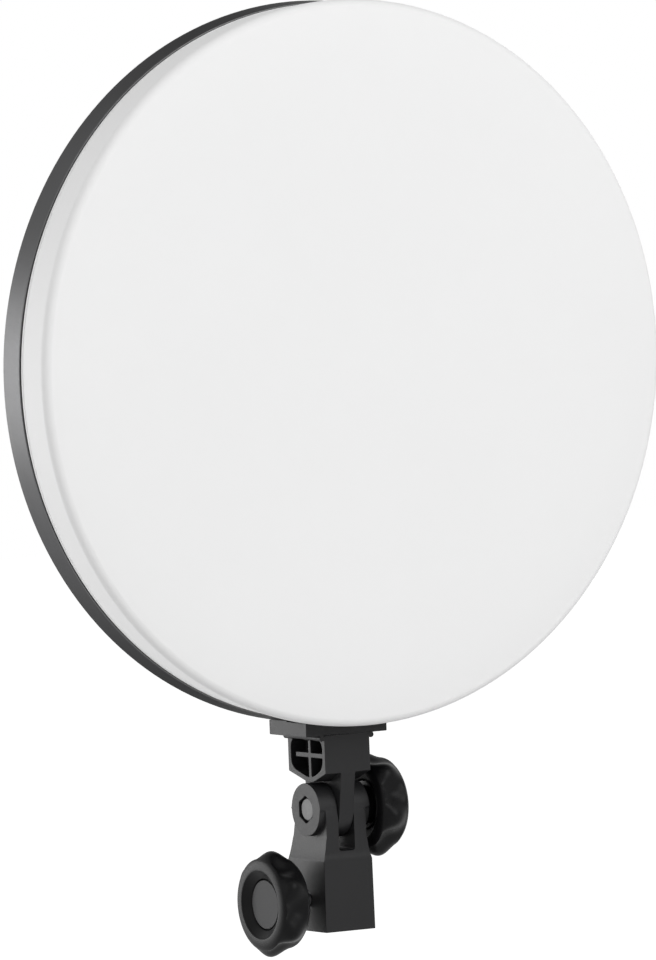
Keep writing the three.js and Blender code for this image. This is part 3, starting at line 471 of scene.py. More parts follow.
piece("rim_band", rim_band(), "lamp", black_aluminium, ["housing_rim"])


# Rear cover: a dished pan with its flange, vents and openings

REAR_RADIUS = (rear_high.x - rear_low.x) / 2
REAR_FLANGE_WIDTH = 7.5 * MM
REAR_FLANGE_THICK = 2.5 * MM
REAR_LEAN = 14 * MM
REAR_WALL = 2.5 * MM
REAR_ROUND = 6 * MM
REAR_EDGE = 0.5 * MM
REAR_BREAK = 0.25 * MM
REAR_ROOT = REAR_RADIUS - REAR_FLANGE_WIDTH
REAR_BACK = REAR_ROOT - REAR_LEAN
VENT_LENGTH = 34 * MM
VENT_WIDTH = 2.6 * MM
VENT_PITCH = 9.5 * MM
VENT_ROWS = 5
VENT_INSET = 44 * MM
VENT_LOWEST = 8 * MM
BUSH_RADIUS = 4.7 * MM
WINDOW_LEDGE = 2 * MM
WINDOW_CORNER = 2.5 * MM
FITTING_CORNERS = {"power_switch": 0.5 * MM, "dc_inlet": 5 * MM, "battery_contacts": 0.5 * MM}
FITTING_FLANGE = 2 * MM
DIALS = "brightness_dial", "colour_dial"


def rear_pan():
    """The rear cover's skin: a flat back, a rounded shoulder, a leaning side and a flange."""
    flange_back = -SEAT_GAP - REAR_FLANGE_THICK
    inside = REAR_WALL - REAR_DEPTH
    profile = [(0, -REAR_DEPTH)]
    profile += arc(REAR_BACK - REAR_ROUND, REAR_ROUND - REAR_DEPTH, REAR_ROUND, -90, 0, 8)
    profile += [(REAR_ROOT, flange_back), (REAR_RADIUS - REAR_EDGE, flange_back)]
    profile += arc(REAR_RADIUS - REAR_EDGE, flange_back + REAR_EDGE, REAR_EDGE, -90, 0, 3)[1:]
    profile += [(REAR_RADIUS, -SEAT_GAP), (REAR_ROOT - REAR_WALL, -SEAT_GAP),
                (REAR_BACK - REAR_WALL, inside + REAR_ROUND), (REAR_BACK - REAR_ROUND, inside),
                (0, inside)]
    return revolve(profile, round_front())


def flat_box(name, grow=SEAT_GAP):
    """Centre x, z on the panel and width, height of a node, with the clearance round it."""
    low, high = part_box(name)
    return ((low.x + high.x) / 2, (low.z + high.z) / 2 - RIM_Z,
            high.x - low.x + 2 * grow, high.z - low.z + 2 * grow)


def rear_openings():
    """What is cut out of the back: vents, and a way in for each control and socket."""
    low, high = -REAR_DEPTH - REAR_WALL, -REAR_DEPTH + 2 * REAR_WALL
    vent_x = REAR_BACK - VENT_INSET
    cuts = [prism(rounded(VENT_LENGTH, VENT_WIDTH, VENT_WIDTH / 2, side * vent_x,
                          VENT_LOWEST + row * VENT_PITCH), low, high)
            for side in (-1, 1) for row in range(VENT_ROWS)]
    for name in DIALS:
        x, z, _, _ = flat_box(name)
        cuts.append(prism(rounded(2 * BUSH_RADIUS, 2 * BUSH_RADIUS, BUSH_RADIUS, x, z), low, high))
    x, z, width, height = flat_box("display_window")
    window_back = BACK_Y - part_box("display_window")[0].y + SEAT_GAP
    cuts.append(prism(rounded(width, height, WINDOW_CORNER + SEAT_GAP, x, z), low, window_back))
    cuts.append(prism(rounded(width - 2 * WINDOW_LEDGE, height - 2 * WINDOW_LEDGE, WINDOW_CORNER,
                              x, z), window_back - CUT_PAST / 2, high))
    for name, corner in FITTING_CORNERS.items():
        x, z, width, height = flat_box(name, -FITTING_FLANGE)
        cuts.append(prism(rounded(width, height, corner, x, z), low, high))
    return cuts


piece("rear_pan", carved(rear_pan(), rear_openings(), REAR_BREAK), "lamp", filled_nylon,
      ["rear_cover"])


# Copies round an axis: screws, and the ribs of the dials


def new_tree(name, inputs):
    """A node tree that takes a mesh, named inputs and a finish, with the sockets it is given."""
    tree = bpy.data.node_groups.new(name, "GeometryNodeTree")
    for label, kind in {"Geometry": "Geometry", **inputs, "Finish": "Material"}.items():
        tree.interface.new_socket(label, in_out="INPUT", socket_type="NodeSocket" + kind)
    tree.interface.new_socket("Geometry", in_out="OUTPUT", socket_type="NodeSocketGeometry")
    return tree, node(tree, "NodeGroupInput").outputs


def end_tree(tree, shape, finish):
    """Makes what a node tree has built real, and gives it its finish."""
    real = node(tree, "GeometryNodeRealizeInstances", {0: shape})
    painted = node(tree, "GeometryNodeSetMaterial", {"Geometry": real, "Material": finish})
    node(tree, "NodeGroupOutput", {0: painted})
    return tree


def ring_tree():
    """Sets copies of a small mesh evenly round a line that runs front to back."""
    tree, given = new_tree("ring_of_copies", {"Count": "Int", "Centre": "Vector"})
    points = node(tree, "GeometryNodePoints", {
        "Count": given["Count"], "Position": given["Centre"]})
    index = node(tree, "GeometryNodeInputIndex")
    step = node(tree, "ShaderNodeMath", {0: tau, 1: given["Count"]}, operation="DIVIDE")
    turn = node(tree, "ShaderNodeMath", {0: index, 1: step}, operation="MULTIPLY")
    angles = node(tree, "ShaderNodeCombineXYZ", {"X": 0.0, "Y": turn, "Z": 0.0})
    rotation = node(tree, "FunctionNodeEulerToRotation", {0: angles})
    copies = node(tree, "GeometryNodeInstanceOnPoints", {
        "Points": points, "Instance": given["Geometry"], "Rotation": rotation})
    return end_tree(tree, copies, given["Finish"])


def tree_result(source, tree, **values):
    """The plain mesh that a node tree makes of a mesh. Inputs are named with underscores."""
    inputs = {item.identifier: values[item.name.replace(" ", "_")]
              for item in tree.interface.items_tree if item.name != "Geometry"}
    return settled(source, "NODES", {"node_group": tree, **inputs})


RING_OF_COPIES = ring_tree()
COVER_SCREW = {"shank": 1.4 * MM, "head": 2.6 * MM, "rise": 1.6 * MM}
BRACKET_SCREW = {"shank": 1.9 * MM, "head": 3.6 * MM, "rise": 2.4 * MM}
# Shares of the head's radius and rise: its domed outline, and its recess
SCREW_DOME = (0, 1), (0.5, 0.93), (0.8, 0.72), (0.97, 0.35), (1, 0)
RECESS_REACH = 0.62
RECESS_HALF = 0.13
RECESS_FLOOR = 0.4
RECESS_PAST = 1.6
SCREW_EDGE = 0.05 * MM


def screw(size, first, length, towards):
    """A pan-head screw with a cross recess, at an offset (x, z) from its ring's centre. towards is
    1 or -1, the way along Y that its head looks."""
    x, z = first
    head, rise, shank = size["head"], size["rise"], size["shank"]

    def turned(radius, height, angle):
        return at(radius * cos(angle), radius * sin(angle), height)

    def at(a, b, height):
        return Vector((x + a, towards * height, z + b))

    profile = [(head * out, rise * up) for out, up in SCREW_DOME]
    profile += [(shank, 0), (shank, -length), (0, -length)]
    arm, half = head * RECESS_REACH, head * RECESS_HALF
    quarter = [(arm, -half), (arm, half), (half, half)]
    cross = quarter + [(-b, a) for a, b in quarter] + [(-a, -b) for a, b in quarter]
    cross += [(b, -a) for a, b in quarter]
    recess = prism(cross, rise * RECESS_FLOOR, rise * RECESS_PAST, at)
    return carved(revolve(profile, turned, steps=20), [recess], SCREW_EDGE)


def screw_ring(name, nodes, size, towards, material):
    """One piece that stands for a ring of alike screws, at the places of their nodes."""
    boxes = [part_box(screw_node) for screw_node in nodes]
    middles = [(low + high) / 2 for low, high in boxes]
    centre = sum(middles, Vector()) / len(nodes)
    low, high = boxes[0]
    length = high.y - low.y - size["rise"]
    centre.y = high.y - size["rise"] if towards > 0 else low.y + size["rise"]
    first = (middles[0].x - centre.x, middles[0].z - centre.z)
    copies = tree_result(screw(size, first, length, towards), RING_OF_COPIES, Count=len(nodes),
                         Centre=centre, Finish=material)
    piece(name, copies, "lamp", material, nodes)


COVER_SCREWS = [f"cover_screw_{i}" for i in range(1, 7)]
BOARD_SCREWS = [f"board_screw_{i}" for i in range(1, 7)]
BRACKET_SCREWS = ["bracket_screw_left", "bracket_screw_right"]
screw_ring("rear_cover_screws", COVER_SCREWS, COVER_SCREW, 1, black_steel)
screw_ring("led_board_screws", BOARD_SCREWS, COVER_SCREW, -1, zinc_steel)
screw_ring("bracket_screws", BRACKET_SCREWS, BRACKET_SCREW, 1, black_steel)


# Dials: a turned core, half-round ribs set round it, and a printed line that shows where it stands

DIAL_RIBS = 32
DIAL_RIB_RADIUS = 0.75 * MM
DIAL_RIB_TAPER = 0.8
DIAL_RIB_START = 1.6 * MM
DIAL_EDGE = 1 * MM
DIAL_DISH = 0.5 * MM
DIAL_MARK_WIDTH = 0.9 * MM
DIAL_MARK_LENGTH = 4.2 * MM
DIAL_MARK_CORNER = 0.4 * MM
DIAL_MARK_AT = 0.45
MARK_THICK = 0.12 * MM


def control_dial(name):
    """A dial's skin with its ribs, and its printed line, on the body that has the dial's name."""
    x, z, width, _ = flat_box(name, 0)
    core = width / 2 - DIAL_RIB_RADIUS
    top, foot = BACK_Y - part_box(name)[1].y, -REAR_DEPTH - SEAT_GAP
    profile = [(0, top + DIAL_DISH), (core - 3 * DIAL_EDGE, top + DIAL_DISH),
               (core - 2 * DIAL_EDGE, top), (core - DIAL_EDGE, top)]
    profile += arc(core - DIAL_EDGE, top + DIAL_EDGE, DIAL_EDGE, -90, 0, 5)[1:]
    profile += [(core, foot), (0, foot)]
    turned = revolve(profile, round_front(x, z), steps=96)
    rib_top = top + DIAL_RIB_START
    lying = Matrix.Translation((core, 0, 0)) @ Matrix.Rotation(-pi / 2, 4, "X")
    rib = bmesh.new()
    bmesh.ops.create_cone(rib, cap_ends=True, segments=10, radius1=DIAL_RIB_RADIUS,
                          radius2=DIAL_RIB_RADIUS * DIAL_RIB_TAPER, depth=foot - rib_top,
                          matrix=lying)
    ribs = tree_result(plain(rib), RING_OF_COPIES, Count=DIAL_RIBS,
                       Centre=along_front(x, (foot + rib_top) / 2, z), Finish=charcoal_abs)
    turned.from_mesh(ribs)
    piece(name + "_cap", turned, name, charcoal_abs, [name])
    line = rounded(DIAL_MARK_WIDTH, DIAL_MARK_LENGTH, DIAL_MARK_CORNER, x, z + core * DIAL_MARK_AT,
                   steps=3)
    mark = prism(line, top + DIAL_DISH - MARK_THICK, top + DIAL_DISH)
    piece(name + "_line", mark, name, white_enamel)


for dial in DIALS:
    control_dial(dial)


# Battery plate: two rails with lips on a base, and the openings for contacts and release

BATTERY_BASE = 3 * MM
BATTERY_CORNER = 3 * MM
RAIL_WIDTH = 3.2 * MM
RAIL_LENGTH = 50 * MM
RAIL_LIP = 1.6 * MM
RAIL_LIP_REACH = 1.8 * MM
CONTACT_HEIGHT = 6 * MM
CONTACT_RISE = 5.4 * MM
BLADE_WIDTH = 1.2 * MM
BLADE_PITCH = 6 * MM
RELEASE_COLLAR = 1.5 * MM
FINE_EDGE = 0.3 * MM
BLADE_EDGE = 0.2 * MM
BUTTON_EDGE = 0.4 * MM


def battery_rails():
    """The plate with its two rails, whose lips are turned inwards."""
    low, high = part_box("battery_plate")
    x, z, width, height = flat_box("battery_plate", 0)
    seat, back = BACK_Y - low.y, BACK_Y - high.y
    face = seat - BATTERY_BASE
    body = plain(prism(rounded(width, height, BATTERY_CORNER, x, z), face, seat))
    lip_width = RAIL_WIDTH + RAIL_LIP_REACH
    for side in (-1, 1):
        for wide, end in ((RAIL_WIDTH, seat - BATTERY_BASE / 2), (lip_width, back + RAIL_LIP)):
            middle = x + side * (width - wide) / 2
            body = combined(body, "UNION", prism(square(wide, RAIL_LENGTH, middle, z), back, end))
    contact_x, _, contact_width, _ = flat_box("battery_contacts")
    contact_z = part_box("battery_contacts")[0].z - RIM_Z + CONTACT_HEIGHT / 2
    contacts = square(contact_width, CONTACT_HEIGHT + 2 * SEAT_GAP, contact_x, contact_z)
    release_x, release_z, wide, tall = flat_box("battery_release", SEAT_GAP - RELEASE_COLLAR)
    openings = [prism(outline, face - CUT_PAST, seat + CUT_PAST)
                for outline in (contacts, square(wide, tall, release_x, release_z))]
    return bevelled(combined(body, "DIFFERENCE", *openings), MOULDED_EDGE)


def contact_block():
    """The moulded block that holds the contact blades."""
    low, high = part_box("battery_contacts")
    x, _, width, _ = flat_box("battery_contacts", 0)
    z = low.z - RIM_Z + CONTACT_HEIGHT / 2
    block = prism(square(width, CONTACT_HEIGHT, x, z), BACK_Y - high.y, BACK_Y - low.y)
    return bevelled(plain(block), FINE_EDGE)


def contact_blades():
    """Three blades that stand up out of the block, side by side."""
    low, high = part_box("battery_contacts")
    foot, top = low.z - RIM_Z + CONTACT_HEIGHT / 2, high.z - RIM_Z
    x, z = (low.x + high.x) / 2, (foot + top) / 2
    middle = BACK_Y - high.y + CONTACT_RISE / 2
    blades = [prism(square(BLADE_WIDTH, top - foot, x + step * BLADE_PITCH, z),
                    middle - BLADE_WIDTH, middle + BLADE_WIDTH) for step in (-1, 0, 1)]
    return bevelled(plain(from_meshes(*map(plain, blades))), BLADE_EDGE)


# Fittings of the back, from the solids with their moulded edges

piece("window_pane", softened("display_window"), "lamp", smoked_acrylic, ["display_window"])
piece("switch_frame", softened("power_switch"), "lamp", satin_abs, ["power_switch"])
piece("inlet_socket", softened("dc_inlet", FINE_EDGE), "lamp", satin_abs, ["dc_inlet"])
piece("battery_rails", battery_rails(), "lamp", satin_abs, ["battery_plate"])
piece("contact_block", contact_block(), "lamp", satin_abs, ["battery_contacts"])
piece("contact_blades", contact_blades(), "lamp", turned_brass)
piece("release_button", softened("battery_release", BUTTON_EDGE), "release", charcoal_abs,
      ["battery_release"])
piece("rocker_cap", softened("power_rocker"), "rocker", charcoal_abs, ["power_rocker"])

SWITCH_MARK = 3 * MM
SWITCH_LINE = 0.55 * MM
SWITCH_RING_STEPS = 24
# A face of the rocker that looks back this squarely, and lies no deeper, is one that is pressed
ROCKER_FACES_BACK = 0.9
ROCKER_FACE_DEPTH = 3 * MM


def circle(radius):
    """The outline of a round mark."""
    return arc(0, 0, radius, 0, 360 - 360 / SWITCH_RING_STEPS, SWITCH_RING_STEPS - 1)


def rocker_marks():
    """A bar on one half of the rocker and a ring on the other, as thin as print."""
    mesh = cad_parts["power_rocker"].data
    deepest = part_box("power_rocker")[1].y - ROCKER_FACE_DEPTH
    facing = [face for face in mesh.polygons
              if face.normal.y > ROCKER_FACES_BACK and face.center.y > deepest]
    split = sum(face.normal.z for face in facing) / len(facing)
    halves = ([face for face in facing if face.normal.z < split],
              [face for face in facing if face.normal.z >= split])
    ring = circle(SWITCH_MARK / 2), circle(SWITCH_MARK / 2 - SWITCH_LINE)
    made = []
    for half, outlines in zip(halves, ([square(SWITCH_LINE, SWITCH_MARK)], ring)):
        normal = sum((face.normal * face.area for face in half), Vector()).normalized()
        corners = [mesh.vertices[i].co for face in half for i in face.vertices]
        middle = Vector([(min(along) + max(along)) / 2 for along in zip(*corners)])
        upward = normal.cross(Vector((-1, 0, 0)))

        def on_half(a, b, depth, middle=middle, upward=upward, normal=normal):
            return middle + Vector((a, 0, 0)) + upward * b + normal * depth

        mark = plain(prism(outlines[0], -MARK_THICK / 2, MARK_THICK / 2, on_half))
        holes = [prism(hole, -MARK_THICK, MARK_THICK, on_half) for hole in outlines[1:]]
        made.append(combined(mark, "DIFFERENCE", *holes))
    return from_meshes(*made)


piece("rocker_marks", rocker_marks(), "rocker", white_enamel)


# Bracket: plate under the rim, riser behind it, neck with a cored pocket in each side, and tongue

bracket_low, bracket_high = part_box("mounting_bracket")
bolt_low, bolt_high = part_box("tilt_bolt")
PIVOT = (bolt_low + bolt_high) / 2
BRACKET_BACK = bracket_high.y - BACK_Y
BRACKET_FRONT = BACK_Y - bracket_low.y
PLATE_WIDTH = bracket_high.x - bracket_low.x
PLATE_BOTTOM = RIM_RADIUS + 5.1 * MM
PLATE_THICK = 6.4 * MM
RISER_TOP = RIM_RADIUS - 11 * MM
RISER_THICK = 4 * MM
RISER_CORNER = 3.5 * MM
RISER_SCREW_X = 12.5 * MM
RISER_SCREW_Z = RIM_RADIUS - 5.5 * MM
RISER_BORE = 2.2 * MM
NECK_HALF = 11.55 * MM
NECK_SHOULDER = PLATE_BOTTOM + 16.5 * MM
NECK_FALL = 5 * MM
NECK_VERTEX = NECK_SHOULDER + NECK_FALL
NECK_ROUND = 4 * MM
VERTEX_FORWARD = 3 * MM
POCKET_WALL = 2.4 * MM
POCKET_TOP = PLATE_BOTTOM + 2 * MM
POCKET_CORNER = 4.5 * MM
RIB_HALF = 1.05 * MM
CROSS_RIB_DROP = PLATE_BOTTOM + 8.9 * MM
CROSS_RIB_SHORT = 4 * MM
TONGUE_HALF = 3.65 * MM
TONGUE_RADIUS = 13 * MM
BEAD_RADIUS = 1.25 * MM
BEAD_SUNK = 0.2 * MM
BOLT_SHANK = 2.9 * MM
BOLT_BORE = BOLT_SHANK + SEAT_GAP


def neck_side(top, inset, corner):
    """The neck seen from the side, as (y, z), or with an inset the pocket in its side."""
    back, front = BRACKET_BACK - inset, BRACKET_FRONT - inset
    rear_slope = NECK_FALL / (BRACKET_BACK + VERTEX_FORWARD)
    front_slope = NECK_FALL / (BRACKET_FRONT - VERTEX_FORWARD)
    back_z, front_z = [-NECK_SHOULDER - inset * slope + inset * hypot(1, slope)
                       for slope in (rear_slope, front_slope)]
    vertex = inset - NECK_VERTEX
    corners = [
        ((-front, -top - corner), (-front, -top), (corner - front, -top)),
        ((back - corner, -top), (back, -top), (back, -top - corner)),
        ((back, back_z + corner), (back, back_z), (back - corner, back_z - corner * rear_slope)),
        ((NECK_ROUND - VERTEX_FORWARD, vertex + NECK_ROUND * rear_slope), (-VERTEX_FORWARD, vertex),
         (-NECK_ROUND - VERTEX_FORWARD, vertex + NECK_ROUND * front_slope)),
        ((corner - front, front_z - corner * front_slope), (-front, front_z),
         (-front, front_z + corner)),
    ]
    points = []
    for before, at, after in corners:
        points += [before] + curve(before, at, after) if before != at else [at]
    return [(BACK_Y + y, RIM_Z + z) for y, z in points]


def tongue_side():
    """The tongue seen from the side: straight edges run from the shoulders to a round end."""
    shoulder = RIM_Z - NECK_SHOULDER
    rise = shoulder - PIVOT.z
    angles = []
    for reach, side in ((BRACKET_BACK, -1), (-BRACKET_FRONT, 1)):
        turn = acos(TONGUE_RADIUS / hypot(reach, rise))
        angles.append(degrees(atan2(rise, reach) + side * turn))
    end = arc(PIVOT.y, PIVOT.z, TONGUE_RADIUS, angles[0], angles[1] - 360, 40)
    return [(BACK_Y + BRACKET_BACK, shoulder)] + end + [(BACK_Y - BRACKET_FRONT, shoulder)]


def neck_pocket(side):
    """What is cored out of one side of the neck: the pocket without its two ribs."""
    low, high = sorted((side * TONGUE_HALF, side * (NECK_HALF + CUT_PAST)))
    middle = BACK_Y - VERTEX_FORWARD
    cross = RIM_Z - CROSS_RIB_DROP
    rear = BACK_Y + BRACKET_BACK - POCKET_WALL - CROSS_RIB_SHORT
    front = BACK_Y - BRACKET_FRONT
    past = CUT_PAST / 2
    pocket = plain(prism(neck_side(POCKET_TOP, POCKET_WALL, POCKET_CORNER), low, high, across))
    upright = oblong(middle - RIB_HALF, RIM_Z - NECK_VERTEX - past,
                     middle + RIB_HALF, RIM_Z - PLATE_BOTTOM)
    level = oblong(front, cross - RIB_HALF, rear, cross + RIB_HALF)
    ribs = [prism(outline, low - past, high + past, across) for outline in (upright, level)]
    return from_meshes(combined(pocket, "DIFFERENCE", *ribs))


def tilt_bracket():
    """Plate, riser, neck and tongue in one, with the pockets, the bores and the rim's cradle."""
    width, height = PLATE_WIDTH, PLATE_BOTTOM - RISER_TOP
    riser = prism(rounded(width, height, RISER_CORNER, 0, -(PLATE_BOTTOM + RISER_TOP) / 2),
                  -SEAT_GAP - RISER_THICK, BRACKET_FRONT)
    foot = oblong(-width / 2, -PLATE_BOTTOM, width / 2, PLATE_THICK - PLATE_BOTTOM)
    parts = [prism(foot, -BRACKET_BACK, BRACKET_FRONT),
             prism(neck_side(PLATE_BOTTOM - PLATE_THICK / 2, 0, 0), -NECK_HALF, NECK_HALF, across),
             prism(tongue_side(), -TONGUE_HALF, TONGUE_HALF, across)]
    reach = NECK_HALF + CUT_PAST
    tools = [bar(RIM_RADIUS + SEAT_GAP, -SEAT_GAP, BRACKET_FRONT + CUT_PAST, round_front(), 384),
             neck_pocket(-1), neck_pocket(1), bar(BOLT_BORE, -reach, reach, round_x(PIVOT))]
    for side in (-1, 1):
        bead = round_front(side * (NECK_HALF + BEAD_RADIUS - BEAD_SUNK),
                           BEAD_SUNK - PLATE_BOTTOM - BEAD_RADIUS)
        parts.append(bar(BEAD_RADIUS, -BRACKET_BACK, BRACKET_FRONT, bead, 20))
        tools.append(bar(RISER_BORE, -SEAT_GAP - RISER_THICK - CUT_PAST, CUT_PAST,
                         round_front(side * RISER_SCREW_X, -RISER_SCREW_Z), 32))
    body = combined(plain(riser), "UNION", *parts)
    return bevelled(combined(body, "DIFFERENCE", *tools), MOULDED_EDGE)


piece("tilt_bracket", tilt_bracket(), "lamp", filled_nylon, ["mounting_bracket"])


# Stand block: a square socket below, two ears with round bosses above, and the slot between them

BOSS_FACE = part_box("stand_block")[1].x
pad_low, pad_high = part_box("pressure_pad")
CLAMP = (pad_low + pad_high) / 2
BLOCK_HALF_DEPTH = 14.85 * MM
BLOCK_FOOT = 12.65 * MM
BLOCK_TOP = 12.4 * MM
BLOCK_HEIGHT = 31.7 * MM
BLOCK_EDGE = 1 * MM
EAR_SET_BACK = 0.5 * MM
EAR_FRONT = 11.8 * MM
EAR_BACK = 11.5 * MM
EAR_TOP = 11.5 * MM
EAR_LEAVES_AT = 10
EAR_SHOULDER = 12.45 * MM
EAR_SHOULDER_DROP = 3.5 * MM
EAR_FLANK = 15.4 * MM
EAR_FLANK_DROP = 12 * MM
EAR_FOOT = 16.4 * MM
EAR_ROOT = 10.75 * MM
EAR_SPLAY = 11.2 * MM
EAR_SPLAY_Z = 34 * MM
EAR_ROOT_Z = 37.8 * MM
EAR_WAIST = 10.2 * MM
BOSS_RADIUS = 11.5 * MM
SLOT_HALF = 3.95 * MM
SLOT_FLOOR = 34.8 * MM
SLOT_CORNER = 1.2 * MM
SOCKET_RADIUS = 8.1 * MM
SOCKET_DEPTH = 28 * MM
SOCKET_CHAMFER = 1 * MM
HEX_RECESS = 10.5 * MM
BOLT_FLATS = 9.7 * MM
BOLT_HEAD = 3.6 * MM
BOLT_SUNK = 0.75 * MM
INSERT_BORE = 4.5 * MM
# The crown of the bolt's head, in millimetres: out from half its flats, and back from its face
BOLT_CROWN = (-0.55, 0), (-0.1, 0.25), (0.2, 0.6)
BOLT_CORNER_BACK = 1.4 * MM
BOLT_EDGE = 0.12 * MM


def block_side():
    """The block seen from the side, as (y, z)."""
    crown = (EAR_FRONT + EAR_BACK) / 2
    crown_y = PIVOT.y + (EAR_BACK - EAR_FRONT) / 2
    front = -BLOCK_HALF_DEPTH
    set_back = front + EAR_SET_BACK
    points = [(BLOCK_HALF_DEPTH, 0), (front, 0), (front, BLOCK_HEIGHT - BLOCK_EDGE)]
    points += curve(points[-1], (front, BLOCK_HEIGHT),
                    (front + EAR_SET_BACK / 2, BLOCK_HEIGHT + BLOCK_EDGE), 4)
    points += curve(points[-1], (set_back, SLOT_FLOOR - BLOCK_EDGE), (set_back, SLOT_FLOOR), 4)
    points += [(PIVOT.y - EAR_SHOULDER, PIVOT.z - EAR_SHOULDER_DROP)]
    points += [(crown_y + crown * out, PIVOT.z + EAR_TOP * up)
               for out, up in arc(0, 0, 1, 180, EAR_LEAVES_AT, 24)]
    points += curve(points[-1], (PIVOT.y + EAR_FLANK, PIVOT.z - EAR_FLANK_DROP),
                    (PIVOT.y + EAR_FOOT, BLOCK_HEIGHT))
    return points


def block_front():
    """The block seen from the front, as (x, z): its right side, and the same mirrored."""
    above = PIVOT.z + 2 * EAR_TOP
    right = [(BLOCK_FOOT, 0), (BLOCK_TOP, BLOCK_HEIGHT - BLOCK_EDGE)]
    right += curve(right[-1], (EAR_SPLAY, EAR_SPLAY_Z), (EAR_ROOT, EAR_ROOT_Z))
    right += [(EAR_WAIST, PIVOT.z - EAR_TOP), (BOSS_FACE, PIVOT.z - BOSS_RADIUS),
              (BOSS_FACE, above)]
    return right + [(-x, z) for x, z in reversed(right)]


def in_world(x, z, y):
    """A place of a prism that runs from front to back in the frame's own coordinates."""
    return Vector((x, y, z))


def round_z(radius, height, angle):
    """A place round the frame's upright axis."""
    return Vector((radius * cos(angle), radius * sin(angle), height))


def hexagon(flats):
    """A hexagon round the tilt bolt's line, with a corner at the top, as (y, z)."""
    reach = flats / sqrt(3)
    angles = [radians(60 * i) for i in range(6)]
    return [(PIVOT.y + reach * sin(a), PIVOT.z + reach * cos(a)) for a in angles]


def stand_block():
    """The block with its ears, shaped by its side and front outlines, and all its bores."""
    past = BLOCK_HALF_DEPTH + CUT_PAST
    reach = BOSS_FACE + CUT_PAST
    body = combined(plain(prism(block_front(), -past, past, in_world)), "INTERSECT",
                    prism(block_side(), -reach, reach, across))
    for side in (-1, 1):
        low, high = sorted((side * EAR_WAIST, side * reach))
        slab = prism(oblong(-past, PIVOT.z - EAR_TOP, past, PIVOT.z), low, high, across)
        boss = bar(BOSS_RADIUS, low - CUT_PAST, high + CUT_PAST, round_x(PIVOT), 96)
        beside = combined(plain(slab), "DIFFERENCE", boss)
        body = combined(body, "DIFFERENCE", from_meshes(beside))
    slot_top = PIVOT.z + 2 * EAR_TOP
    slot = rounded(2 * SLOT_HALF, slot_top - SLOT_FLOOR, SLOT_CORNER, 0,
                   (slot_top + SLOT_FLOOR) / 2)
    socket = [(0, -CUT_PAST), (SOCKET_RADIUS + SOCKET_CHAMFER + CUT_PAST, -CUT_PAST),
              (SOCKET_RADIUS, SOCKET_CHAMFER), (SOCKET_RADIUS, SOCKET_DEPTH), (0, SOCKET_DEPTH)]
    seat = -BOSS_FACE + BOLT_SUNK + BOLT_HEAD
    body = combined(body, "DIFFERENCE", prism(slot, -past, past, in_world),
                    revolve(socket, round_z, 96), bar(BOLT_BORE, -reach, reach, round_x(PIVOT)),
                    prism(hexagon(HEX_RECESS), -reach, seat, across),
                    bar(INSERT_BORE, -reach, 0, round_x(CLAMP)))
    return bevelled(body, MOULDED_EDGE)


def tilt_bolt():
    """A hexagon bolt whose head is chamfered round its corners, with its shank."""
    face = -BOSS_FACE + BOLT_SUNK
    seat = face + BOLT_HEAD
    corner = BOLT_FLATS / sqrt(3)
    half = BOLT_FLATS / 2
    profile = [(0, face)] + [(half + out * MM, face + back * MM) for out, back in BOLT_CROWN]
    profile += [(corner, face + BOLT_CORNER_BACK), (corner, seat), (0, seat)]
    head = combined(plain(prism(hexagon(BOLT_FLATS), face, seat, across)), "INTERSECT",
                    revolve(profile, round_x(PIVOT), 96))
    shank = bar(BOLT_SHANK, seat - SEAT_GAP, bolt_high.x, round_x(PIVOT))
    return from_meshes(bevelled(head, BOLT_EDGE), plain(shank))


piece("clevis_block", stand_block(), "stand_head", filled_nylon, ["stand_block"])
piece("hex_bolt", tilt_bolt(), "stand_head", phosphated_steel, ["tilt_bolt"])


# Knobs: turned skins whose grip a node tree pulls out at the lobes and in at the scallops

KNOB_EDGE = 0.5 * MM
KNOB_GRIP_RINGS = 14
# Points nearer to the axis than this stay where they are
KNOB_LIP = 17.4 * MM
KNOB_RING = 20 * MM
KNOB_RING_AT = 1.2 * MM
KNOB_FLANGE = 19.8 * MM
KNOB_FLANGE_AT = 12.4 * MM
KNOB_FOOT = 18.6 * MM
KNOB_THICK = 14 * MM
KNOB_RECESS = 14.6 * MM
KNOB_RECESS_DEPTH = 5.4 * MM
KNOB_BOSS = 10.7 * MM
KNOB_BOSS_DROP = 2.8 * MM
CAP_OVERHANG = 0.8 * MM
KNOB_LOBE = 3.3 * MM
KNOB_SCALLOP = 1.7 * MM
KNOB_LOBES = 6.0
LOBE_FULLNESS = 0.8
KNOB_HUB = 8.5 * MM
KNOB_DISH = 15 * MM
KNOB_DISH_DEPTH = 1 * MM
CLAMP_TURNED = -5
TILT_TURNED = 16.5
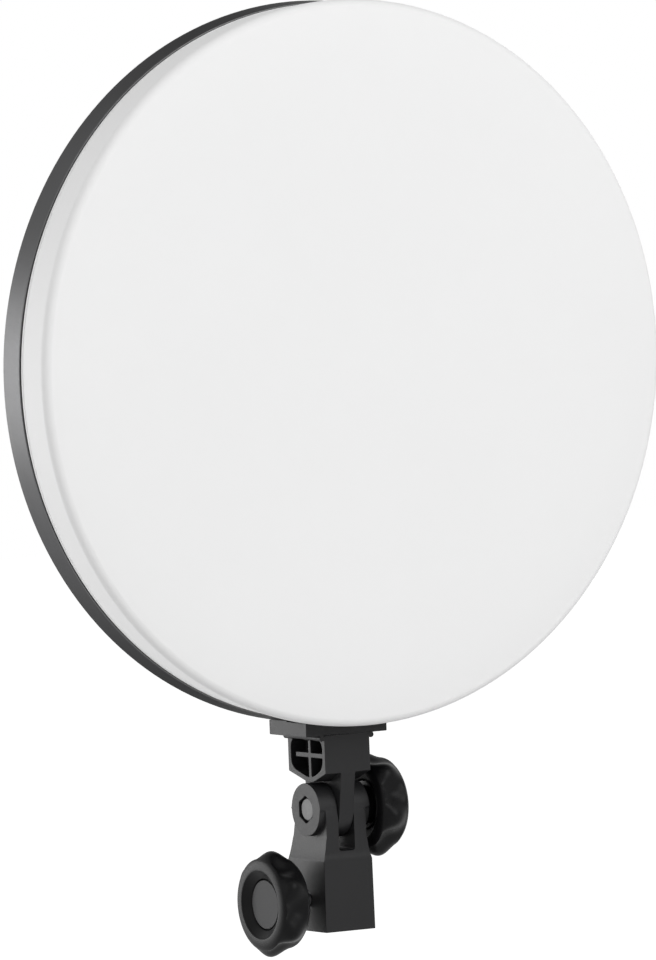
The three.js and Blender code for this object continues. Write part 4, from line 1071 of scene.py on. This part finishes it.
# How far a point of the grip moves. Each row names a result, what is done, and with what: a result
# above it, an input of the tree, a coordinate of the point, or a number
LOBE_SUMS = (
    ("forward", "SUBTRACT", "Axis Y", "y"),
    ("upward", "SUBTRACT", "z", "Axis Z"),
    ("forward squared", "MULTIPLY", "forward", "forward"),
    ("upward squared", "MULTIPLY", "upward", "upward"),
    ("radius squared", "ADD", "forward squared", "upward squared"),
    ("radius", "SQRT", "radius squared"),
    ("behind face", "SUBTRACT", "x", "Face X"),
    ("behind ring", "SUBTRACT", "behind face", "Ring At"),
    ("grip length", "SUBTRACT", "Flange At", "Ring At"),
    ("share", "DIVIDE", "behind ring", "grip length"),
    ("share to 1", "MINIMUM", "share", 1.0),
    ("share on grip", "MAXIMUM", "share to 1", 0.0),
    ("fuller share", "POWER", "share on grip", LOBE_FULLNESS),
    ("half turn", "MULTIPLY", "fuller share", pi),
    ("swell", "SINE", "half turn"),
    ("bearing", "ARCTAN2", "upward", "forward"),
    ("turned bearing", "SUBTRACT", "bearing", "Turn"),
    ("phase", "MULTIPLY", "turned bearing", "Lobes"),
    ("wave", "COSINE", "phase"),
    ("twice lobe", "SUBTRACT", 1.0, "wave"),
    ("lobe", "DIVIDE", "twice lobe", 2.0),
    ("scallop", "SUBTRACT", 1.0, "lobe"),
    ("out", "MULTIPLY", "lobe", "Lobe"),
    ("in", "MULTIPLY", "scallop", "Scallop"),
    ("pull", "SUBTRACT", "out", "in"),
    ("outside lip", "GREATER_THAN", "radius", "Lip"),
    ("swollen pull", "MULTIPLY", "pull", "swell"),
    ("kept pull", "MULTIPLY", "swollen pull", "outside lip"),
    ("change", "DIVIDE", "kept pull", "radius"),
    ("move forward", "MULTIPLY", "forward", "change"),
    ("move y", "MULTIPLY", "move forward", -1.0),
    ("move z", "MULTIPLY", "upward", "change"),
)


def lobed_grip_tree():
    """Moves points of a knob outwards or inwards: lobes that die out at both ends of the grip."""
    sizes = ("Face X", "Axis Y", "Axis Z", "Ring At", "Flange At", "Lip", "Lobe", "Scallop", "Turn",
             "Lobes")
    tree, given = new_tree("lobed_grip", dict.fromkeys(sizes, "Float"))
    where = node(tree, "GeometryNodeInputPosition")
    values = {size: given[size] for size in sizes}
    values.update(zip("xyz", node(tree, "ShaderNodeSeparateXYZ", {0: where}).outputs))
    for result, operation, *terms in LOBE_SUMS:
        sockets = {i: values.get(term, term) for i, term in enumerate(terms)}
        values[result] = node(tree, "ShaderNodeMath", sockets, operation=operation)
    shift = node(tree, "ShaderNodeCombineXYZ", {
        "X": 0.0, "Y": values["move y"], "Z": values["move z"]})
    moved = node(tree, "GeometryNodeSetPosition", {
        "Geometry": given["Geometry"], "Offset": shift})
    return end_tree(tree, moved, given["Finish"])


LOBED_GRIP = lobed_grip_tree()


def knob_mesh(face_x, axis, turned, hub_end=None, boss_drop=KNOB_BOSS_DROP, boss=KNOB_BOSS):
    """A knob round a line along X. Its recess looks towards -X. Its back has a hub or a dish."""
    edge = KNOB_EDGE
    foot = KNOB_BOSS + SEAT_GAP
    profile = [(0, boss_drop), (boss - edge, boss_drop), (boss, boss_drop + edge),
               (boss, KNOB_RECESS_DEPTH), (foot, KNOB_RECESS_DEPTH), (foot, KNOB_BOSS_DROP + edge)]
    profile += curve(profile[-1], (foot + edge / 2, KNOB_BOSS_DROP),
                     (foot + edge, KNOB_BOSS_DROP - edge / 2), 3)
    profile += curve((KNOB_RECESS - edge, 2 * edge), (KNOB_RECESS, edge / 2),
                     (KNOB_RECESS + edge, 0), 5)
    profile += curve(profile[-1], (KNOB_RING - 2 * edge, 0), (KNOB_RING, KNOB_RING_AT), 10)[:-1]
    for i in range(KNOB_GRIP_RINGS + 1):
        share = i / KNOB_GRIP_RINGS
        profile.append((KNOB_RING + (KNOB_FLANGE - KNOB_RING) * share,
                        KNOB_RING_AT + (KNOB_FLANGE_AT - KNOB_RING_AT) * share))
    profile += [(KNOB_FLANGE - edge / 2, KNOB_THICK - 2 * edge), (KNOB_FOOT, KNOB_THICK)]
    if hub_end:
        profile += [(KNOB_HUB + edge, KNOB_THICK), (KNOB_HUB, KNOB_THICK + edge),
                    (KNOB_HUB, hub_end - edge), (KNOB_HUB - edge, hub_end), (0, hub_end)]
    else:
        floor = KNOB_THICK - KNOB_DISH_DEPTH
        profile += [(KNOB_DISH + edge, KNOB_THICK), (KNOB_DISH, KNOB_THICK - edge),
                    (KNOB_DISH - 2 * edge, floor), (0, floor)]
    skin = revolve([(r, face_x + h) for r, h in profile], round_x(axis), steps=144)
    return tree_result(plain(skin), LOBED_GRIP, Face_X=face_x, Axis_Y=axis.y, Axis_Z=axis.z,
                       Ring_At=KNOB_RING_AT, Flange_At=KNOB_FLANGE_AT, Lip=KNOB_LIP,
                       Lobe=KNOB_LOBE, Scallop=KNOB_SCALLOP, Turn=radians(turned),
                       Lobes=KNOB_LOBES, Finish=satin_abs)


clamp_low, clamp_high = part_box("clamp_knob")
cap_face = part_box("clamp_knob_cap")[0].x
tilt_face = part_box("tilt_knob")[0].x
CAP_THICK = 1.2 * MM
CAP_EDGE = 0.25 * MM

piece("clamp_grip", knob_mesh(clamp_low.x, CLAMP, CLAMP_TURNED, clamp_high.x - clamp_low.x,
                              cap_face - clamp_low.x + CAP_THICK, KNOB_BOSS - CAP_OVERHANG),
      "clamp_knob", satin_abs, ["clamp_knob"])
piece("tilt_grip", knob_mesh(tilt_face, PIVOT, TILT_TURNED), "tilt_knob", satin_abs,
      ["tilt_knob"])


def knob_cap():
    """The flat cap that hides the clamp screw, its edge broken all round."""
    back = cap_face + CAP_THICK - SEAT_GAP / 2
    profile = [(0, cap_face), (KNOB_BOSS - CAP_EDGE, cap_face), (KNOB_BOSS, cap_face + CAP_EDGE),
               (KNOB_BOSS, back), (0, back)]
    return revolve(profile, round_x(CLAMP), steps=96)


piece("clamp_cap", knob_cap(), "clamp_knob", charcoal_abs, ["clamp_knob_cap"])


# Stage: floor, light and camera

WHITE = "#ffffff"
FLOOR_PAINT = "#e0e0e0"
FLOOR_LIFT = 0.72
FLOOR_HALF = 6.0
FLOOR_Z = -0.30
WORLD_LEVEL = 0.42
# Each lamp's direction from the panel, then its distance and size in metres, and its power in watts
SOFTBOXES = {
    "key": ((0.2, -1.0, 0.5), 3.0, 1.9, 49),
    "left": ((-1.0, -0.3, 0.3), 2.2, 1.2, 5),
    "left_back": ((-0.55, 0.83, -0.04), 2.2, 1.1, 23),
}


def seen_or_mirrored(tree):
    """1 for the camera, a reflection or a look through glass, and 0 for the light it throws."""
    path = node(tree, "ShaderNodeLightPath").outputs
    direct = node(tree, "ShaderNodeMath", {0: path["Is Camera Ray"], 1: path["Is Glossy Ray"]},
                  operation="MAXIMUM")
    return node(tree, "ShaderNodeMath", {0: direct, 1: path["Is Transmission Ray"]},
                operation="MAXIMUM")


def white_stage():
    """A pale floor, lifted to white for the camera and for reflections, that keeps the shadow."""
    material = bpy.data.materials.new("stage_white")
    tree = blank_tree(material)
    lift = node(tree, "ShaderNodeMath", {0: seen_or_mirrored(tree), 1: FLOOR_LIFT},
                operation="MULTIPLY")
    paint = node(tree, "ShaderNodeBsdfDiffuse", {"Color": linear(FLOOR_PAINT)})
    glow = node(tree, "ShaderNodeEmission", {"Color": linear(WHITE), "Strength": lift})
    added = node(tree, "ShaderNodeAddShader", {0: paint, 1: glow})
    node(tree, "ShaderNodeOutputMaterial", {"Surface": added})
    return material


def stage_floor():
    """A wide floor, well below the object."""
    mesh = bpy.data.meshes.new("floor")
    corners = oblong(-FLOOR_HALF, -FLOOR_HALF, FLOOR_HALF, FLOOR_HALF)
    mesh.from_pydata([(x, y, FLOOR_Z) for x, y in corners], [], [(0, 1, 2, 3)])
    mesh.materials.append(white_stage())
    placed("floor", mesh)


def world_light():
    """Even soft light, white to the camera and in reflections."""
    world = bpy.data.worlds.new("studio")
    bpy.context.scene.world = world
    tree = blank_tree(world)
    strength = node(tree, "ShaderNodeMapRange", {
        "Value": seen_or_mirrored(tree), "To Min": WORLD_LEVEL, "To Max": 1.0})
    glow = node(tree, "ShaderNodeBackground", {
        "Color": linear(WHITE), "Strength": strength})
    node(tree, "ShaderNodeOutputWorld", {"Surface": glow})


def softbox(name, direction, distance, size, power):
    """An area lamp that looks at the panel's middle from a direction."""
    lamp = bpy.data.lights.new(name, "AREA")
    lamp.size = size
    lamp.energy = power
    holder = placed(name, lamp)
    towards = Vector(direction).normalized()
    holder.location = Vector((0, BACK_Y, RIM_Z)) + towards * distance
    holder.rotation_euler = towards.to_track_quat("Z", "Y").to_euler()


def camera():
    """The photograph's view, from a fit of a camera to the rim's outline in the picture."""
    azimuth, elevation, roll = radians(32.1), radians(2.98), radians(-2.2)
    distance = 5.2
    focal_px = 12022
    frame_px = Vector((656, 960))
    centre_px = Vector((313.3, 361.3))
    sensor_mm = 36
    back = Vector((-sin(azimuth) * cos(elevation),
                   -cos(azimuth) * cos(elevation), sin(elevation)))
    right = Vector((cos(azimuth), -sin(azimuth), 0))
    up = back.cross(right)
    turned_right = right * cos(roll) + up * sin(roll)
    turned_up = up * cos(roll) - right * sin(roll)
    off = frame_px / 2 - centre_px
    forward = -back + turned_right * off.x / focal_px - turned_up * off.y / focal_px
    z_axis = -forward.normalized()
    x_axis = turned_up.cross(z_axis).normalized()
    y_axis = z_axis.cross(x_axis)
    turn = Matrix((x_axis, y_axis, z_axis)).transposed()
    data = bpy.data.cameras.new("camera")
    data.lens = focal_px * sensor_mm / frame_px.y
    data.sensor_width = sensor_mm
    data.clip_end = 100
    seen_from = placed("camera", data)
    rim_centre = Vector((0, BACK_Y, RIM_Z))
    seen_from.matrix_world = Matrix.Translation(rim_centre + back * distance) @ turn.to_4x4()
    bpy.context.scene.camera = seen_from


stage_floor()
world_light()
for name, lamp in SOFTBOXES.items():
    softbox(name, *lamp)
camera()
bpy.context.scene.view_settings.view_transform = "Standard"
